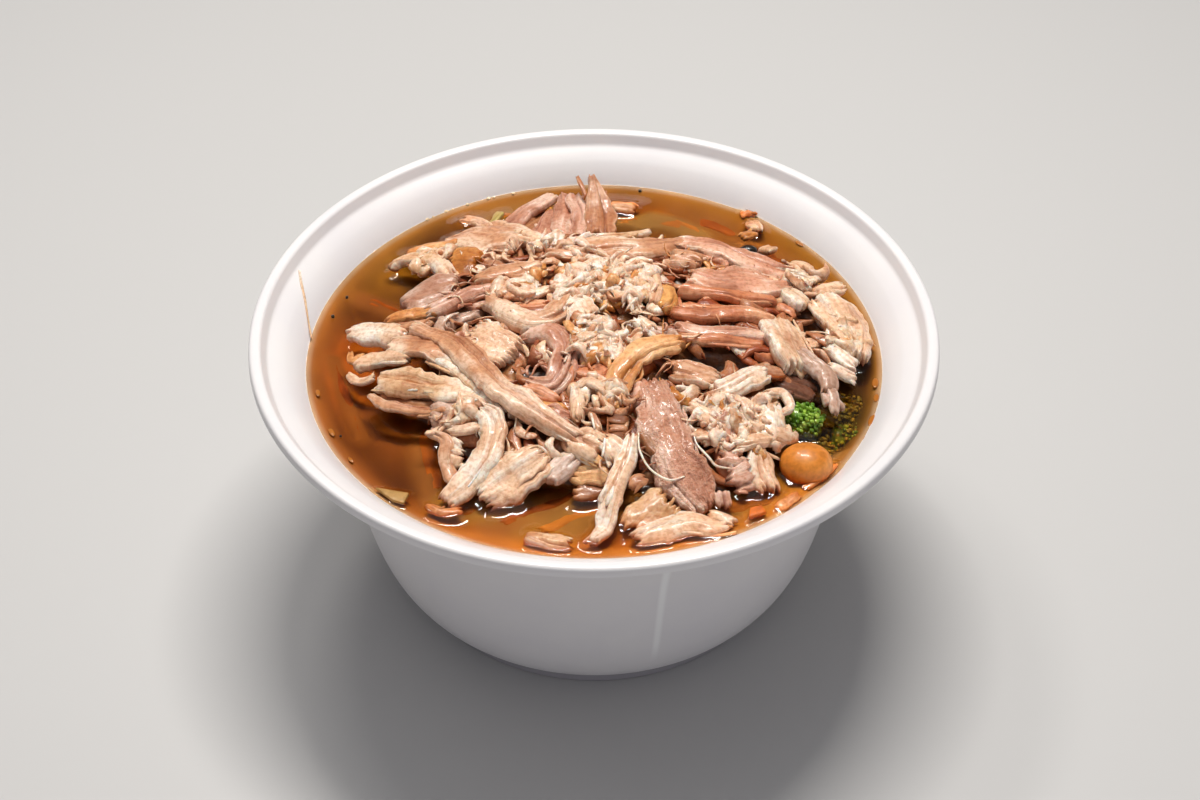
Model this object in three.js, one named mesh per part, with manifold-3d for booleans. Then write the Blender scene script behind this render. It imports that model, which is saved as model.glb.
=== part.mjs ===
// Chicken soup in a round takeaway bowl: a thin moulded bowl, the broth, a heap of torn chicken
// standing out of it, and the vegetables and flakes that float beside the heap.
// Millimetres, +Z up, origin at the middle of the foot. The side of the bowl that faces -Y is its front.

import * as THREE from 'three';
import { mergeVertices } from 'three/addons/utils/BufferGeometryUtils.js';
import Module from 'manifold-3d';

const wasm = await Module();
wasm.setup();

// ---------------------------------------------------------------------------------------------
// Driving dimensions
// ---------------------------------------------------------------------------------------------

const BOWL_HEIGHT = 84.5;          // foot to the top of the rim
const RIM_RADIUS = 92.5;           // outside of the rim's top
const SKIRT_RADIUS = 92.8;         // the rim's outer skirt flares a little
const SKIRT_DROP = 2.6;            // height of that skirt
const LIP_WIDTH = 3.3;             // raised outer lip that a lid snaps over
const SEAT_DEPTH = 3.65;           // step down from the lip to the lid's seat
const SEAT_RUN = 1.6;              // how far that step slopes inwards
const WALL = 1.2;                  // wall thickness
const FOOT_RADIUS = 55.4;          // outside of the foot band
const FOOT_BAND = 4.4;             // height of the foot band
const FOOT_RING = 5.0;             // width of the ring that stands on the table
const FOOT_EDGE = 0.6;             // bevel along the foot's edges
const RECESS = 1.2;                // how far the base is raised inside that ring
const FLOOR_INSET = 2.6;           // the floor inside ends this far in from the foot band
const RIM_EDGE = 0.8;              // bevel along the lip's edges
const BOWL_SEGMENTS = 48;          // flats round the bowl
const WALL_STEPS = 7;              // rows up the curved wall

const BROTH_LEVEL = 73.0;          // surface of the broth
const BROTH_RADIUS = 78.2;         // where that surface stops, just short of the wall
const GAP = 0.3;                   // clearance between two pieces that touch
const FLOAT_BASE = BROTH_LEVEL + GAP;

const HEAP_CENTRE_X = 4;           // the heap leans a little to the right
const HEAP_RADIUS_X = 76;
const HEAP_RADIUS_Y = 68;
const HEAP_EDGE = 1.5;             // height of the heap's edge above the broth
const HEAP_RISE = 13;              // rise from the edge to its middle
const HEAP_POWER = 2.4;            // how flat the top of the heap is
const CORE_SINK = 3.5;             // the bare core lies this far under the shreds
const CORE_BOTTOM = 46;            // how deep the core reaches into the broth
const CORE_ANGLES = 28;
// The core's reach from the heap's middle, every 20 degrees from +X towards the back.
const CORE_REACH = [62, 60, 48, 42, 40, 42, 50, 56, 52, 50, 47, 56, 56, 54, 54, 60, 53, 52];

const SHRED_SIDES = 6;             // faces round a shred
const SHRED_STEP = 9.0;            // distance between a shred's stations
const SHRED_END = 0.55;            // width of a shred's torn end, as part of its full width
const UNEVENNESS = 0.13;           // how much a shred's width and thickness vary
const ROOTING = 2.2;               // how far a shred's underside reaches into the core
const LEANING_LIFT = 3.2;          // shreds lifted more than this lean free of the heap
const FILLER_COUNT = 16;           // short shreds that fill in between the long ones
const SEED = 7;
const GOLDEN_ANGLE = Math.PI * (3 - Math.sqrt(5));

// ---------------------------------------------------------------------------------------------
// Helpers
// ---------------------------------------------------------------------------------------------

// Repeatable random numbers from 0 to 1.
function randomFrom(seed) {
  let state = seed >>> 0;
  return () => {
    state = (state + 0x6d2b79f5) >>> 0;
    let t = Math.imul(state ^ (state >>> 15), state | 1);
    t ^= t + Math.imul(t ^ (t >>> 7), t | 61);
    return ((t ^ (t >>> 14)) >>> 0) / 4294967296;
  };
}

// Geometry to manifold: shared corners merged, empty triangles dropped, faces turned outwards.
function toSolid(geometry) {
  const bare = new THREE.BufferGeometry();
  bare.setAttribute('position', geometry.getAttribute('position').clone());
  const count = geometry.getAttribute('position').count;
  bare.setIndex(geometry.index ? geometry.index.clone() : [...Array(count).keys()]);
  const merged = mergeVertices(bare, 1e-4);
  const position = merged.getAttribute('position');
  const corners = [];
  let sixVolumes = 0;
  const [a, b, c] = [new THREE.Vector3(), new THREE.Vector3(), new THREE.Vector3()];
  for (let i = 0; i < merged.index.count; i += 3) {
    const [p, q, r] = [0, 1, 2].map((k) => merged.index.getX(i + k));
    if (p === q || q === r || r === p) continue;
    corners.push(p, q, r);
    a.fromBufferAttribute(position, p);
    b.fromBufferAttribute(position, q);
    c.fromBufferAttribute(position, r);
    sixVolumes += a.dot(b.cross(c));
  }
  if (sixVolumes < 0) corners.reverse();
  const vertProperties = new Float32Array(position.array);
  return new wasm.Manifold(new wasm.Mesh({ numProp: 3, vertProperties, triVerts: new Uint32Array(corners) }));
}

// Manifold back to a geometry. Only the largest body is kept: no loose scraps and no sealed hollows.
function toGeometry(solid) {
  const bodies = solid.decompose().sort((one, other) => other.volume() - one.volume());
  const mesh = bodies[0].getMesh();
  const geometry = new THREE.BufferGeometry();
  geometry.setAttribute('position', new THREE.BufferAttribute(new Float32Array(mesh.vertProperties), 3));
  geometry.setIndex(new THREE.BufferAttribute(new Uint32Array(mesh.triVerts), 1));
  geometry.computeVertexNormals();
  return geometry;
}

// A closed skin over a stack of rings, each an array of points, with a fan to a point at both ends.
function skinOver(rings, firstPole, lastPole) {
  const sides = rings[0].length;
  const points = [firstPole, ...rings.flat(), lastPole];
  const last = points.length - 1;
  const corners = [];
  for (let k = 0; k < sides; k++) {
    const next = (k + 1) % sides;
    corners.push(0, 1 + k, 1 + next);
    for (let i = 0; i < rings.length - 1; i++) {
      const here = 1 + i * sides;
      const above = here + sides;
      corners.push(here + k, above + k, above + next);
      corners.push(here + k, above + next, here + next);
    }
    const top = 1 + (rings.length - 1) * sides;
    corners.push(last, top + next, top + k);
  }
  const geometry = new THREE.BufferGeometry();
  const numbers = points.flatMap((point) => point.toArray());
  geometry.setAttribute('position', new THREE.Float32BufferAttribute(numbers, 3));
  geometry.setIndex(corners);
  return geometry;
}

// A profile of [radius, height] pairs turned round the Z axis.
function turned(profile, segments) {
  const points = profile.map(([radius, height]) => new THREE.Vector2(radius, height));
  return new THREE.LatheGeometry(points, segments).rotateX(Math.PI / 2);
}

function material(color, roughness) {
  return new THREE.MeshStandardMaterial({ color, roughness, metalness: 0 });
}

const soup = new THREE.Group();

function place(name, solid, finish) {
  const mesh = new THREE.Mesh(toGeometry(solid), finish);
  mesh.name = name;
  soup.add(mesh);
}

// ---------------------------------------------------------------------------------------------
// Bowl: foot band, curved wall, sloping shoulder, lid seat, raised lip and skirt
// ---------------------------------------------------------------------------------------------

// The wall's outside is one curve from the foot band to the underside of the rim.
const wallCurve = new THREE.CubicBezierCurve(
  new THREE.Vector2(FOOT_RADIUS, FOOT_BAND),
  new THREE.Vector2(73.1, 12.7),
  new THREE.Vector2(63.5, 65.6),
  new THREE.Vector2(87.0, 79.6),
);

// The wall's outline, moved inwards by a distance.
function wallAt(inset) {
  return wallCurve.getPoints(WALL_STEPS).map((point, i) => {
    const along = wallCurve.getTangent(i / WALL_STEPS);
    return [point.x - along.y * inset, point.y + along.x * inset];
  });
}

function bowlProfile() {
  const seatRadius = RIM_RADIUS - LIP_WIDTH - SEAT_RUN;
  const seatHeight = BOWL_HEIGHT - SEAT_DEPTH;
  const outside = wallAt(0);
  const inside = wallAt(WALL);
  const floor = RECESS + WALL;
  const recessRadius = FOOT_RADIUS - FOOT_RING;
  const lipInside = RIM_RADIUS - LIP_WIDTH + RIM_EDGE / 2;
  return [
    [0, RECESS],
    [recessRadius - FOOT_EDGE, RECESS],
    [recessRadius, 0],
    [FOOT_RADIUS - FOOT_EDGE, 0],
    [FOOT_RADIUS, FOOT_EDGE],
    ...outside,
    [lipInside, BOWL_HEIGHT - WALL],
    [SKIRT_RADIUS - WALL, BOWL_HEIGHT - WALL],
    [SKIRT_RADIUS - RIM_EDGE, BOWL_HEIGHT - SKIRT_DROP],
    [SKIRT_RADIUS, BOWL_HEIGHT - SKIRT_DROP],
    [RIM_RADIUS, BOWL_HEIGHT - RIM_EDGE],
    [RIM_RADIUS - RIM_EDGE, BOWL_HEIGHT],
    [lipInside, BOWL_HEIGHT],
    [seatRadius + RIM_EDGE / 2, seatHeight + RIM_EDGE / 2],
    [seatRadius - RIM_EDGE / 2, seatHeight - RIM_EDGE / 4],
    ...inside.slice(1, -1).reverse(),
    [FOOT_RADIUS - FLOOR_INSET, floor],
    [0, floor],
  ];
}

// ---------------------------------------------------------------------------------------------
// Heap: a low mound, the shreds that lie on it, and its bare core
// ---------------------------------------------------------------------------------------------

// Height of the heap's outer surface over a place in plan.
function moundHeight(x, y) {
  const reach = Math.hypot((x - HEAP_CENTRE_X) / HEAP_RADIUS_X, y / HEAP_RADIUS_Y);
  return BROTH_LEVEL + HEAP_EDGE + HEAP_RISE * Math.max(0, 1 - reach ** HEAP_POWER);
}

// Which way that surface faces, from its slope over a short step.
function moundNormal(x, y) {
  const step = 1.5;
  const slopeX = (moundHeight(x + step, y) - moundHeight(x - step, y)) / (2 * step);
  const slopeY = (moundHeight(x, y + step) - moundHeight(x, y - step)) / (2 * step);
  return new THREE.Vector3(-slopeX, -slopeY, 1).normalize();
}

// The core's outline in plan: a smooth closed curve through its reach in each direction.
function coreReach(turn) {
  const place = turn * CORE_REACH.length;
  const first = Math.floor(place);
  const blend = (1 - Math.cos(Math.PI * (place - first))) / 2;
  const here = CORE_REACH[first % CORE_REACH.length];
  const next = CORE_REACH[(first + 1) % CORE_REACH.length];
  return here + (next - here) * blend;
}

// The bare core: mound-shaped above the broth and narrowing below it, grown outwards by a clearance.
function coreSolid(clearance = 0) {
  const ring = (scale, heightAt) => Array.from({ length: CORE_ANGLES }, (_, k) => {
    const turn = k / CORE_ANGLES;
    const reach = coreReach(turn) * scale + clearance;
    const x = HEAP_CENTRE_X + reach * Math.cos(turn * 2 * Math.PI);
    const y = reach * Math.sin(turn * 2 * Math.PI);
    return new THREE.Vector3(x, y, heightAt(x, y));
  });
  const onMound = (x, y) => moundHeight(x, y) - CORE_SINK + clearance;
  const rings = [
    ring(0.7, () => CORE_BOTTOM - clearance),
    ring(0.9, () => CORE_BOTTOM + 12),
    ring(1, () => BROTH_LEVEL - 4),
    ring(1, () => BROTH_LEVEL + 1 + clearance),
    ring(0.93, onMound),
    ring(0.62, onMound),
    ring(0.3, onMound),
  ];
  const bottom = new THREE.Vector3(HEAP_CENTRE_X, 0, CORE_BOTTOM - clearance);
  const top = new THREE.Vector3(HEAP_CENTRE_X, 0, onMound(HEAP_CENTRE_X, 0));
  return toSolid(skinOver(rings, bottom, top));
}

// Whether a place in plan lies over the core.
function isOverCore({ x, y }) {
  const turn = Math.atan2(y, x - HEAP_CENTRE_X) / (2 * Math.PI);
  return Math.hypot(x - HEAP_CENTRE_X, y) < 0.97 * coreReach(turn < 0 ? turn + 1 : turn);
}

// A torn shred: a flattened section carried along a smooth path on the mound. Each path point is
// [x, y, lift], where lift raises the shred's top above the mound. Over the core its underside
// reaches down into the core, so that nothing hangs in the air.
function shredSolid([width, thickness, ...path], random) {
  const curve = new THREE.CatmullRomCurve3(path.map(([x, y, lift]) => (
    new THREE.Vector3(x, y, moundHeight(x, y) + lift - thickness / 2)
  )));
  const stations = Math.max(3, Math.ceil(curve.getLength() / SHRED_STEP) + 1);
  const rings = [];
  for (let i = 0; i < stations; i++) {
    const along = i / (stations - 1);
    const centre = curve.getPointAt(along);
    const side = curve.getTangentAt(along).cross(moundNormal(centre.x, centre.y)).normalize();
    const rise = new THREE.Vector3().crossVectors(side, curve.getTangentAt(along)).normalize();
    const fullness = SHRED_END + (1 - SHRED_END) * Math.sin(Math.PI * along) ** 0.5;
    const half = (width / 2) * fullness * (1 + UNEVENNESS * (2 * random() - 1));
    const deep = (thickness / 2) * fullness * (1 + UNEVENNESS * (2 * random() - 1));
    const lift = centre.z + thickness / 2 - moundHeight(centre.x, centre.y);
    const rooted = isOverCore(centre) && lift < LEANING_LIFT;
    rings.push(Array.from({ length: SHRED_SIDES }, (_, k) => {
      const angle = (k * 2 * Math.PI) / SHRED_SIDES;
      const corner = centre.clone().addScaledVector(side, half * Math.cos(angle));
      corner.addScaledVector(rise, deep * Math.sin(angle));
      const insideCore = moundHeight(corner.x, corner.y) - CORE_SINK - ROOTING;
      if (rooted && angle > Math.PI) corner.z = Math.min(corner.z, insideCore);
      return corner;
    }));
  }
  const poleOut = (end, sign) => (
    curve.getPointAt(end).addScaledVector(curve.getTangentAt(end), sign * thickness * 0.25)
  );
  return toSolid(skinOver(rings, poleOut(0, -1), poleOut(1, 1)));
}

// Shreds of the heap, group by group: [width, thickness, ...path].
const BACK_LEFT = [
  [17, 5, [-43, 50, 0], [-31, 45, 0], [-19, 38, 0.5]],
  [5, 3, [-24, 43, 1.5], [-18, 38, 1.5], [-15, 31, 0.5]],
  [4, 2.5, [-40, 61, 0], [-35, 58, 0.4], [-30, 50, 0.8]],
  [4.5, 3.5, [-59, 35, 0.5], [-54, 37, 1], [-43, 36, 0.5]],
  [4.5, 3, [-55, 42, 0], [-49, 43, 0.5], [-38, 43, 0.8]],
  [6, 3, [-48, 36, 1], [-44, 29, 1], [-40, 22, 0]],
  [12, 3, [-42, 32, -0.5], [-37, 31, 0], [-31, 29, -0.5]],
  [13, 4, [-54, 13, 0], [-46, 17, 0.5], [-37, 18, 0]],
  [5, 4, [-47, 6, 0], [-36, 11, 0.5], [-24, 15, 0]],
  [6, 4, [-34, 17, 1], [-25, 19, 1.5], [-14, 22, 1]],
  [4, 3, [-58, 6, -0.5], [-50, 7, 0], [-42, 6, 0]],
];
const LEFT_FINGERS = [
  [6.5, 3.5, [-68, 5, 0.5], [-60, 2, 1], [-50, -3, 1]],
  [9, 4, [-56, -3, 0.5], [-47, -7, 1], [-38, -13, 1], [-30, -20, 1]],
  [6, 3.5, [-65, -10, 0], [-57, -9, 0.5], [-48, -12, 0.5]],
  [8, 3, [-58, -17, 0.5], [-49, -21, 1], [-40, -25, 1], [-29, -29, 0.3]],
  [3.5, 2.5, [-60, -21, 0], [-54, -27, 0], [-44, -31, 0], [-37, -32, 0.3]],
  [7.5, 4, [-50, 0, 1], [-41, -7, 2], [-33, -17, 2.5], [-25, -28, 3], [-17, -35, 3], [-9, -42, 2.5],
    [-3, -46, 1.5]],
  [4.5, 3, [-44, -13, 1], [-35, -20, 1], [-29, -28, 1], [-23, -36, 0.5]],
];
const FRONT_LEFT = [
  [11, 5, [-43, -31, -0.5], [-39, -33, 0], [-34, -37, -0.5]],
  [8, 3.5, [-30, -33, 1], [-26, -39, 1.5], [-27, -48, 1.5], [-32, -55, 1], [-38, -60, 0]],
  [3.5, 2.5, [-42, -38, 0], [-38, -42, 0.5], [-38, -48, 0.3], [-34, -56, 0.6]],
  [13, 6, [-29, -58, 0], [-20, -53, 1], [-11, -47, 0.5]],
  [6, 4, [-13, -55.5, -0.3], [-8, -52, -0.3], [-3, -47, -0.5]],
];
const MIDDLE_LEFT = [
  [7, 4, [-30, 9, 0.5], [-24, 2, 1], [-16, -3, 1], [-10, -1, 1], [-7, 6, 0.5], [-6, 13, 0]],
  [3.5, 2.5, [-30, 12, 0.5], [-20, 9, 0.5], [-11, 11, 0.5]],
  [13, 5, [-33, -4, 0], [-27, -9, 0.5], [-20, -15, 0]],
  [7, 4, [-20, -7, 0.5], [-12, -7, 1], [-8, -13, 1], [-8, -20, 1], [-11, -27, 0.5], [-18, -25, 0]],
  [8, 4, [-13, -36, -0.5], [-5, -38, -0.5]],
  [4.5, 3.5, [-5, -27, 1], [-4, -33, 1], [-4, -40, 0.5]],
];
const MIDDLE = [
  [7, 3.5, [-11, 17, 0], [-7, 19, 0.5], [-2, 21, 0]],
  [7, 5, [-3, 13, 0.5], [3, 12, 1], [8, 12, 0.5]],
  [4.5, 3, [12, 23, 1], [13, 14, 1], [14, 5, 1]],
  [8, 4, [-6, 8, 0], [-4, 2, 0.5], [-2, -3, 0]],
  [8, 5, [-4, -14, 1], [2, -15, 1.5], [6, -13, 0.5]],
  [6, 3.5, [18, 13, 0.5], [20, 7, 0.5], [17, 2, 0]],
];
const BACK = [
  [9, 3, [2, 38, 0], [1, 50, 5], [-1.5, 62, 13]],
  [6.5, 3, [-10, 36, 0], [-9, 50, 3], [-9, 63, 6.2]],
  [5.5, 3, [-4, 37, 0], [-5, 50, 4], [-6, 61, 7]],
  [8.5, 3.5, [-27, 50, 0], [-20, 58, 2.2], [-12, 65, 5.6]],
  [5.5, 3, [-17, 36, 0], [-14, 46, 1.5], [-12, 56, 3.5]],
  [10, 4, [-14, 30, 0.5], [0, 31, 1], [14, 33, 1], [27, 38, 0.5]],
];
const BACK_RIGHT = [
  [9, 4, [22, 37, 0.5], [32, 34, 1], [42, 29, 1], [52, 26, 0.5], [58, 28, 0]],
  [3.5, 2.5, [53, 25, 0.5], [64, 27, 0]],
  [11, 4, [26, 18, 0.5], [35, 15, 1], [45, 17, 1], [55, 20, 0.5]],
  [7, 4, [49, 17, 1], [55, 13, 1], [58, 9, 0.5]],
  [5, 3.5, [23, 12, 0.5], [36, 10, 1], [50, 9, 0.5]],
  [5, 3.5, [20, 1, 0.5], [28, 0, 1], [38, 2, 1], [50, 1, 0.5]],
  [4.5, 3, [21, -4, 0], [30, -7, 0.5], [40, -6, 0.5], [48, -6, 0]],
];
const RIGHT = [
  [12, 5, [49, 4, 0], [51, -7, 1], [54, -17, 0.5]],
  [5, 3, [61, 18, 0.5], [67, 23, 1], [71, 26, 1]],
  [11, 5, [65, 19, 1], [69, 9, 1.5], [71, -1, 1], [71, -9, 0.5]],
  [5, 3, [60, 13, 1], [65, 4, 1.5], [67, -6, 1]],
  [6, 3, [62, -4, 0.5], [71, -12, 0.5]],
  [5.5, 3, [53, -9, 1], [61, -17, 1.5], [61, -25, 1]],
  [3, 2.5, [61, -23, 1], [61.5, -29, 0.5]],
  [3, 2.5, [61.5, -23, 1], [65, -28.5, 0.5]],
];
const FRONT_RIGHT = [
  [8, 3.5, [24, -12, 1.5], [14, -16, 2], [8, -22, 2], [5, -29, 1.5], [4, -36, 0.5]],
  [13, 5, [15, -25, 0], [17, -36, 0.5], [20, -47, 0.5], [25, -58, 0], [28, -63, 0]],
  [5, 3.5, [10, -43, 1], [7, -53, 1.5], [4, -62, 1], [2, -69, 0.8], [-1.5, -74, 0.7]],
  [8, 4, [20, -20, 0], [27, -23, 0.5], [33, -25, 0]],
  [7, 4, [28, -30, 1], [36, -27, 1.5], [46, -20, 1]],
  [4, 2.5, [24, -33, 0.5], [30, -37, 1], [34, -41, 0.5]],
  [5, 3, [32, -35, 1], [33, -40, 1], [33, -46, 0.5]],
  [4.5, 3, [35, -45, 1], [40, -44, 1.5], [46, -42, 1]],
  [6.5, 3.5, [45, -30, 1], [46.5, -37, 1.5], [45, -44, 0.5]],
  [8, 4, [41, -44, 0.5], [43.5, -50.5, 0.5], [45, -56, 0]],
  [6, 3.5, [31, -47, 0], [39, -48, 0.5]],
  [8, 4, [33, -54, 0], [41, -50.5, 0.5]],
  [12, 3, [9, -70, 0], [14, -65, 0], [20, -59, 0.3]],
  [6.5, 3, [9, -73, 0.2], [14, -70.5, 0.8], [22, -67.5, 1], [29, -67.5, 0.5], [34, -65.5, 0.2]],
];

const HEAP_SHREDS = [
  ...BACK_LEFT, ...LEFT_FINGERS, ...FRONT_LEFT, ...MIDDLE_LEFT, ...MIDDLE, ...BACK, ...BACK_RIGHT, ...RIGHT,
  ...FRONT_RIGHT,
];

// Short shreds laid by the golden angle over the core, a little lower than the long ones.
function fillerRows(random) {
  return Array.from({ length: FILLER_COUNT }, (_, i) => {
    const around = i * GOLDEN_ANGLE;
    const turn = (around / (2 * Math.PI)) % 1;
    const reach = 0.93 * coreReach(turn) * Math.sqrt((i + 0.5) / FILLER_COUNT);
    const [x, y] = [HEAP_CENTRE_X + reach * Math.cos(around), reach * Math.sin(around)];
    const heading = Math.PI * random();
    const half = 4.5 + 3.5 * random();
    const [runX, runY] = [half * Math.cos(heading), half * Math.sin(heading)];
    const lift = -1.3 + 1.3 * random();
    const ends = [[x - runX, y - runY, lift], [x + runX, y + runY, lift]];
    return [3.2 + 2 * random(), 2.6 + random(), ...ends];
  });
}

// Everything above a height, as a solid to trim floating pieces against.
function spaceAbove(height) {
  return toSolid(new THREE.BoxGeometry(300, 300, 100).translate(0, 0, height + 50));
}

function floating(rows, random) {
  return rows.map((row) => shredSolid(row, random)).reduce((whole, piece) => whole.add(piece))
    .intersect(spaceAbove(FLOAT_BASE));
}

// ---------------------------------------------------------------------------------------------
// What floats beside the heap
// ---------------------------------------------------------------------------------------------

// An uneven ball: its surface swells and dips by a few long waves.
function lumpSolid(centre, [radiusX, radiusY, radiusZ], detail, dents, clearance = 0) {
  const geometry = new THREE.IcosahedronGeometry(1, detail);
  const position = geometry.getAttribute('position');
  const point = new THREE.Vector3();
  for (let i = 0; i < position.count; i++) {
    point.fromBufferAttribute(position, i);
    const swell = 1 + dents * Math.sin(3.1 * point.x + 1.3) * Math.cos(2.7 * point.y - point.z);
    point.multiplyScalar(swell).multiply(new THREE.Vector3(
      radiusX + clearance,
      radiusY + clearance,
      radiusZ + clearance,
    )).add(centre);
    position.setXYZ(i, point.x, point.y, point.z);
  }
  return toSolid(geometry);
}

// A floret, half sunk: small buds packed by the golden angle over a dome.
const FLORET_CENTRE = new THREE.Vector3(55.2, -28.8, 72.5);
const FLORET_RADII = [4.6, 4.6, 4];
const FLORET_BUDS = 13;
const BUD_REACH = 3.8;             // how far out and up the buds sit from the floret's middle
const BUD_RADIUS = 1.8;

function floretSolid(random) {
  let whole = lumpSolid(FLORET_CENTRE, FLORET_RADII, 1, 0.05);
  for (let i = 0; i < FLORET_BUDS; i++) {
    const height = 1 - (i + 0.5) / FLORET_BUDS;
    const around = i * GOLDEN_ANGLE;
    const reach = Math.sqrt(1 - height * height);
    const outwards = new THREE.Vector3(reach * Math.cos(around), reach * Math.sin(around), height);
    const bud = BUD_RADIUS * (0.83 + 0.34 * random());
    const centre = outwards.multiplyScalar(BUD_REACH).add(FLORET_CENTRE);
    whole = whole.add(lumpSolid(centre, [bud, bud, bud], 0, 0.04));
  }
  return whole;
}

// A round soft bean, half sunk, with a slightly pinched side.
const BEAN_CENTRE = new THREE.Vector3(54.3, -46, 74.3);
const BEAN_RADII = [6.8, 6.4, 5.4];

// A dark seed of pepper that floats at the back right.
const SEED_CENTRE = new THREE.Vector3(44.5, 43, 75);
const SEED_RADII = [2.7, 1.8, 1.6];

// Thin slices that float flat: corners in plan, and thickness.
const ROOT_SLICE = [[-55, -54.5], [-46.5, -56.5], [-47.5, -60], [-50.5, -58.8]];
const ROOT_THICKNESS = 1.2;
const CARROT_BIT = [[38.5, -65.2], [43, -63.2], [42, -61], [39, -62]];
const CARROT_THICKNESS = 1.4;

// Loose shreds and flakes that float clear of the heap, as rows like the heap's own.
const FRONT_SHRED = [4.5, 3, [-17, -71, 0.3], [-11, -72.6, 0.4], [-5, -73.4, 0.3]];
const WALL_SHRED = [3.2, 2.4, [52, -55.8, 0], [49, -58.6, 0.2], [45.5, -61.2, 0]];
const BACK_FLAKE = [6, 3, [4, 67, 0], [8, 67.5, 0.3], [13, 66, 0]];
const EDGE_FLAKE = [4.5, 2.4, [47, 59.5, 0.4], [48, 53, 0.6]];

// A thin slice with straight cut edges, from its corners in plan.
function sliceSolid(corners, thickness) {
  const outline = new THREE.Shape(corners.map(([x, y]) => new THREE.Vector2(x, y)));
  const geometry = new THREE.ExtrudeGeometry(outline, { depth: thickness, bevelEnabled: false });
  return toSolid(geometry.translate(0, 0, FLOAT_BASE));
}

// A thin hair of meat left on the shoulder of the bowl, from the lid's seat down to the broth.
const FIBRE_RADIUS = 0.4;
const FIBRE_PATH = [
  [-82.9, 26, 81.2], [-82, 21.6, 79.7], [-80.4, 15.8, 77.4], [-79, 9.5, 75.3], [-77.8, 4.5, 74.1],
];

function fibreSolid() {
  const curve = new THREE.CatmullRomCurve3(FIBRE_PATH.map((point) => new THREE.Vector3(...point)));
  const circle = new THREE.EllipseCurve(0, 0, FIBRE_RADIUS, FIBRE_RADIUS).getPoints(8);
  const section = new THREE.Shape(circle.slice(1));
  return toSolid(new THREE.ExtrudeGeometry(section, { steps: 8, extrudePath: curve }));
}

// ---------------------------------------------------------------------------------------------
// Broth: fills the bowl to its level, cut round the core, the bean and the floret
// ---------------------------------------------------------------------------------------------

function brothSolid() {
  const floor = RECESS + WALL + GAP;
  const isWetted = ([, height]) => height > floor + FLOOR_INSET && height < BROTH_LEVEL - WALL;
  const wetted = wallAt(WALL + GAP).filter(isWetted);
  const surface = [[BROTH_RADIUS, BROTH_LEVEL], [0, BROTH_LEVEL]];
  const profile = [[0, floor], [FOOT_RADIUS - FLOOR_INSET - 2 * GAP, floor], ...wetted, ...surface];
  return toSolid(turned(profile, BOWL_SEGMENTS))
    .subtract(coreSolid(GAP))
    .subtract(lumpSolid(BEAN_CENTRE, BEAN_RADII, 2, 0.04, 2 * GAP))
    .subtract(lumpSolid(FLORET_CENTRE, FLORET_RADII, 2, 0, BUD_RADIUS));
}

// ---------------------------------------------------------------------------------------------
// Assembly
// ---------------------------------------------------------------------------------------------

const random = randomFrom(SEED);

const plastic = material(0xe9e6e6, 0.35);
const liquid = material(0x8a4a1c, 0.1);
const meat = material(0xd9b190, 0.5);
const greens = material(0x3f7a18, 0.5);
const pulse = material(0xd98a3c, 0.35);
const pepper = material(0x1c1310, 0.3);
const root = material(0xd2b268, 0.4);
const carrot = material(0xe0690c, 0.4);

place('bowl', toSolid(turned(bowlProfile(), BOWL_SEGMENTS)), plastic);

const heap = floating([...HEAP_SHREDS, ...fillerRows(random)], random).add(coreSolid());
place('chicken_heap', heap, meat);

place('broccoli_floret', floretSolid(random), greens);
place('round_bean', lumpSolid(BEAN_CENTRE, BEAN_RADII, 3, 0.04), pulse);
place('pepper_seed', lumpSolid(SEED_CENTRE, SEED_RADII, 1, 0.03), pepper);
place('root_slice', sliceSolid(ROOT_SLICE, ROOT_THICKNESS), root);
place('carrot_bit', sliceSolid(CARROT_BIT, CARROT_THICKNESS), carrot);
place('front_shred', floating([FRONT_SHRED], random), meat);
place('wall_shred', floating([WALL_SHRED], random), meat);
place('back_flake', floating([BACK_FLAKE], random), meat);
place('edge_flake', floating([EDGE_FLAKE], random), meat);
place('stray_fibre', fibreSolid(), meat);

place('broth', brothSolid(), liquid);

export default soup;
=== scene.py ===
# %% [markdown]
# # A bowl of chicken soup, dressed
#
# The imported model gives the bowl, the broth, the heap of torn chicken and the few things beside it as
# plain solids, in metres, with +Z up and the origin under the foot. This lesson leaves their sizes
# alone and gives each of them a finished surface.

import bpy
import numpy as np
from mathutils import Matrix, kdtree


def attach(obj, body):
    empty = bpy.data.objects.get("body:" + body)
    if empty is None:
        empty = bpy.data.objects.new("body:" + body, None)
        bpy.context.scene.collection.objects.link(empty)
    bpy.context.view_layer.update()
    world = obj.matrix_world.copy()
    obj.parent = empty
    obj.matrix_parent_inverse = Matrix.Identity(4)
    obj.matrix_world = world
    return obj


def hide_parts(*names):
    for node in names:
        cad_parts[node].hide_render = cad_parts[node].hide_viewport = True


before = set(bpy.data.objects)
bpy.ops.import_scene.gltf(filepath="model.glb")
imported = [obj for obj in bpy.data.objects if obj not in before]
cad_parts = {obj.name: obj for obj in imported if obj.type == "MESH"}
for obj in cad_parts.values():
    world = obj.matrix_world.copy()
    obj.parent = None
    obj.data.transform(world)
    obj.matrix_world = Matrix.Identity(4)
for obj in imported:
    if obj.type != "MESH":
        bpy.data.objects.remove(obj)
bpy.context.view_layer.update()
print("solids to dress:", ", ".join(sorted(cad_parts)))

# %% [markdown]
# ## Units, colours and noise
#
# Food is easier to think about in millimetres, so every shape below is worked out in millimetres and
# only turned to metres as its mesh is made. Colours are written as the hex values a painter would pick,
# and one function turns them to the linear values that shaders expect.

# %% Units and colours
MM = 0.001                 # one millimetre in metres
BODY = "root"              # nothing in a soup moves, so everything rides on one body


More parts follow.
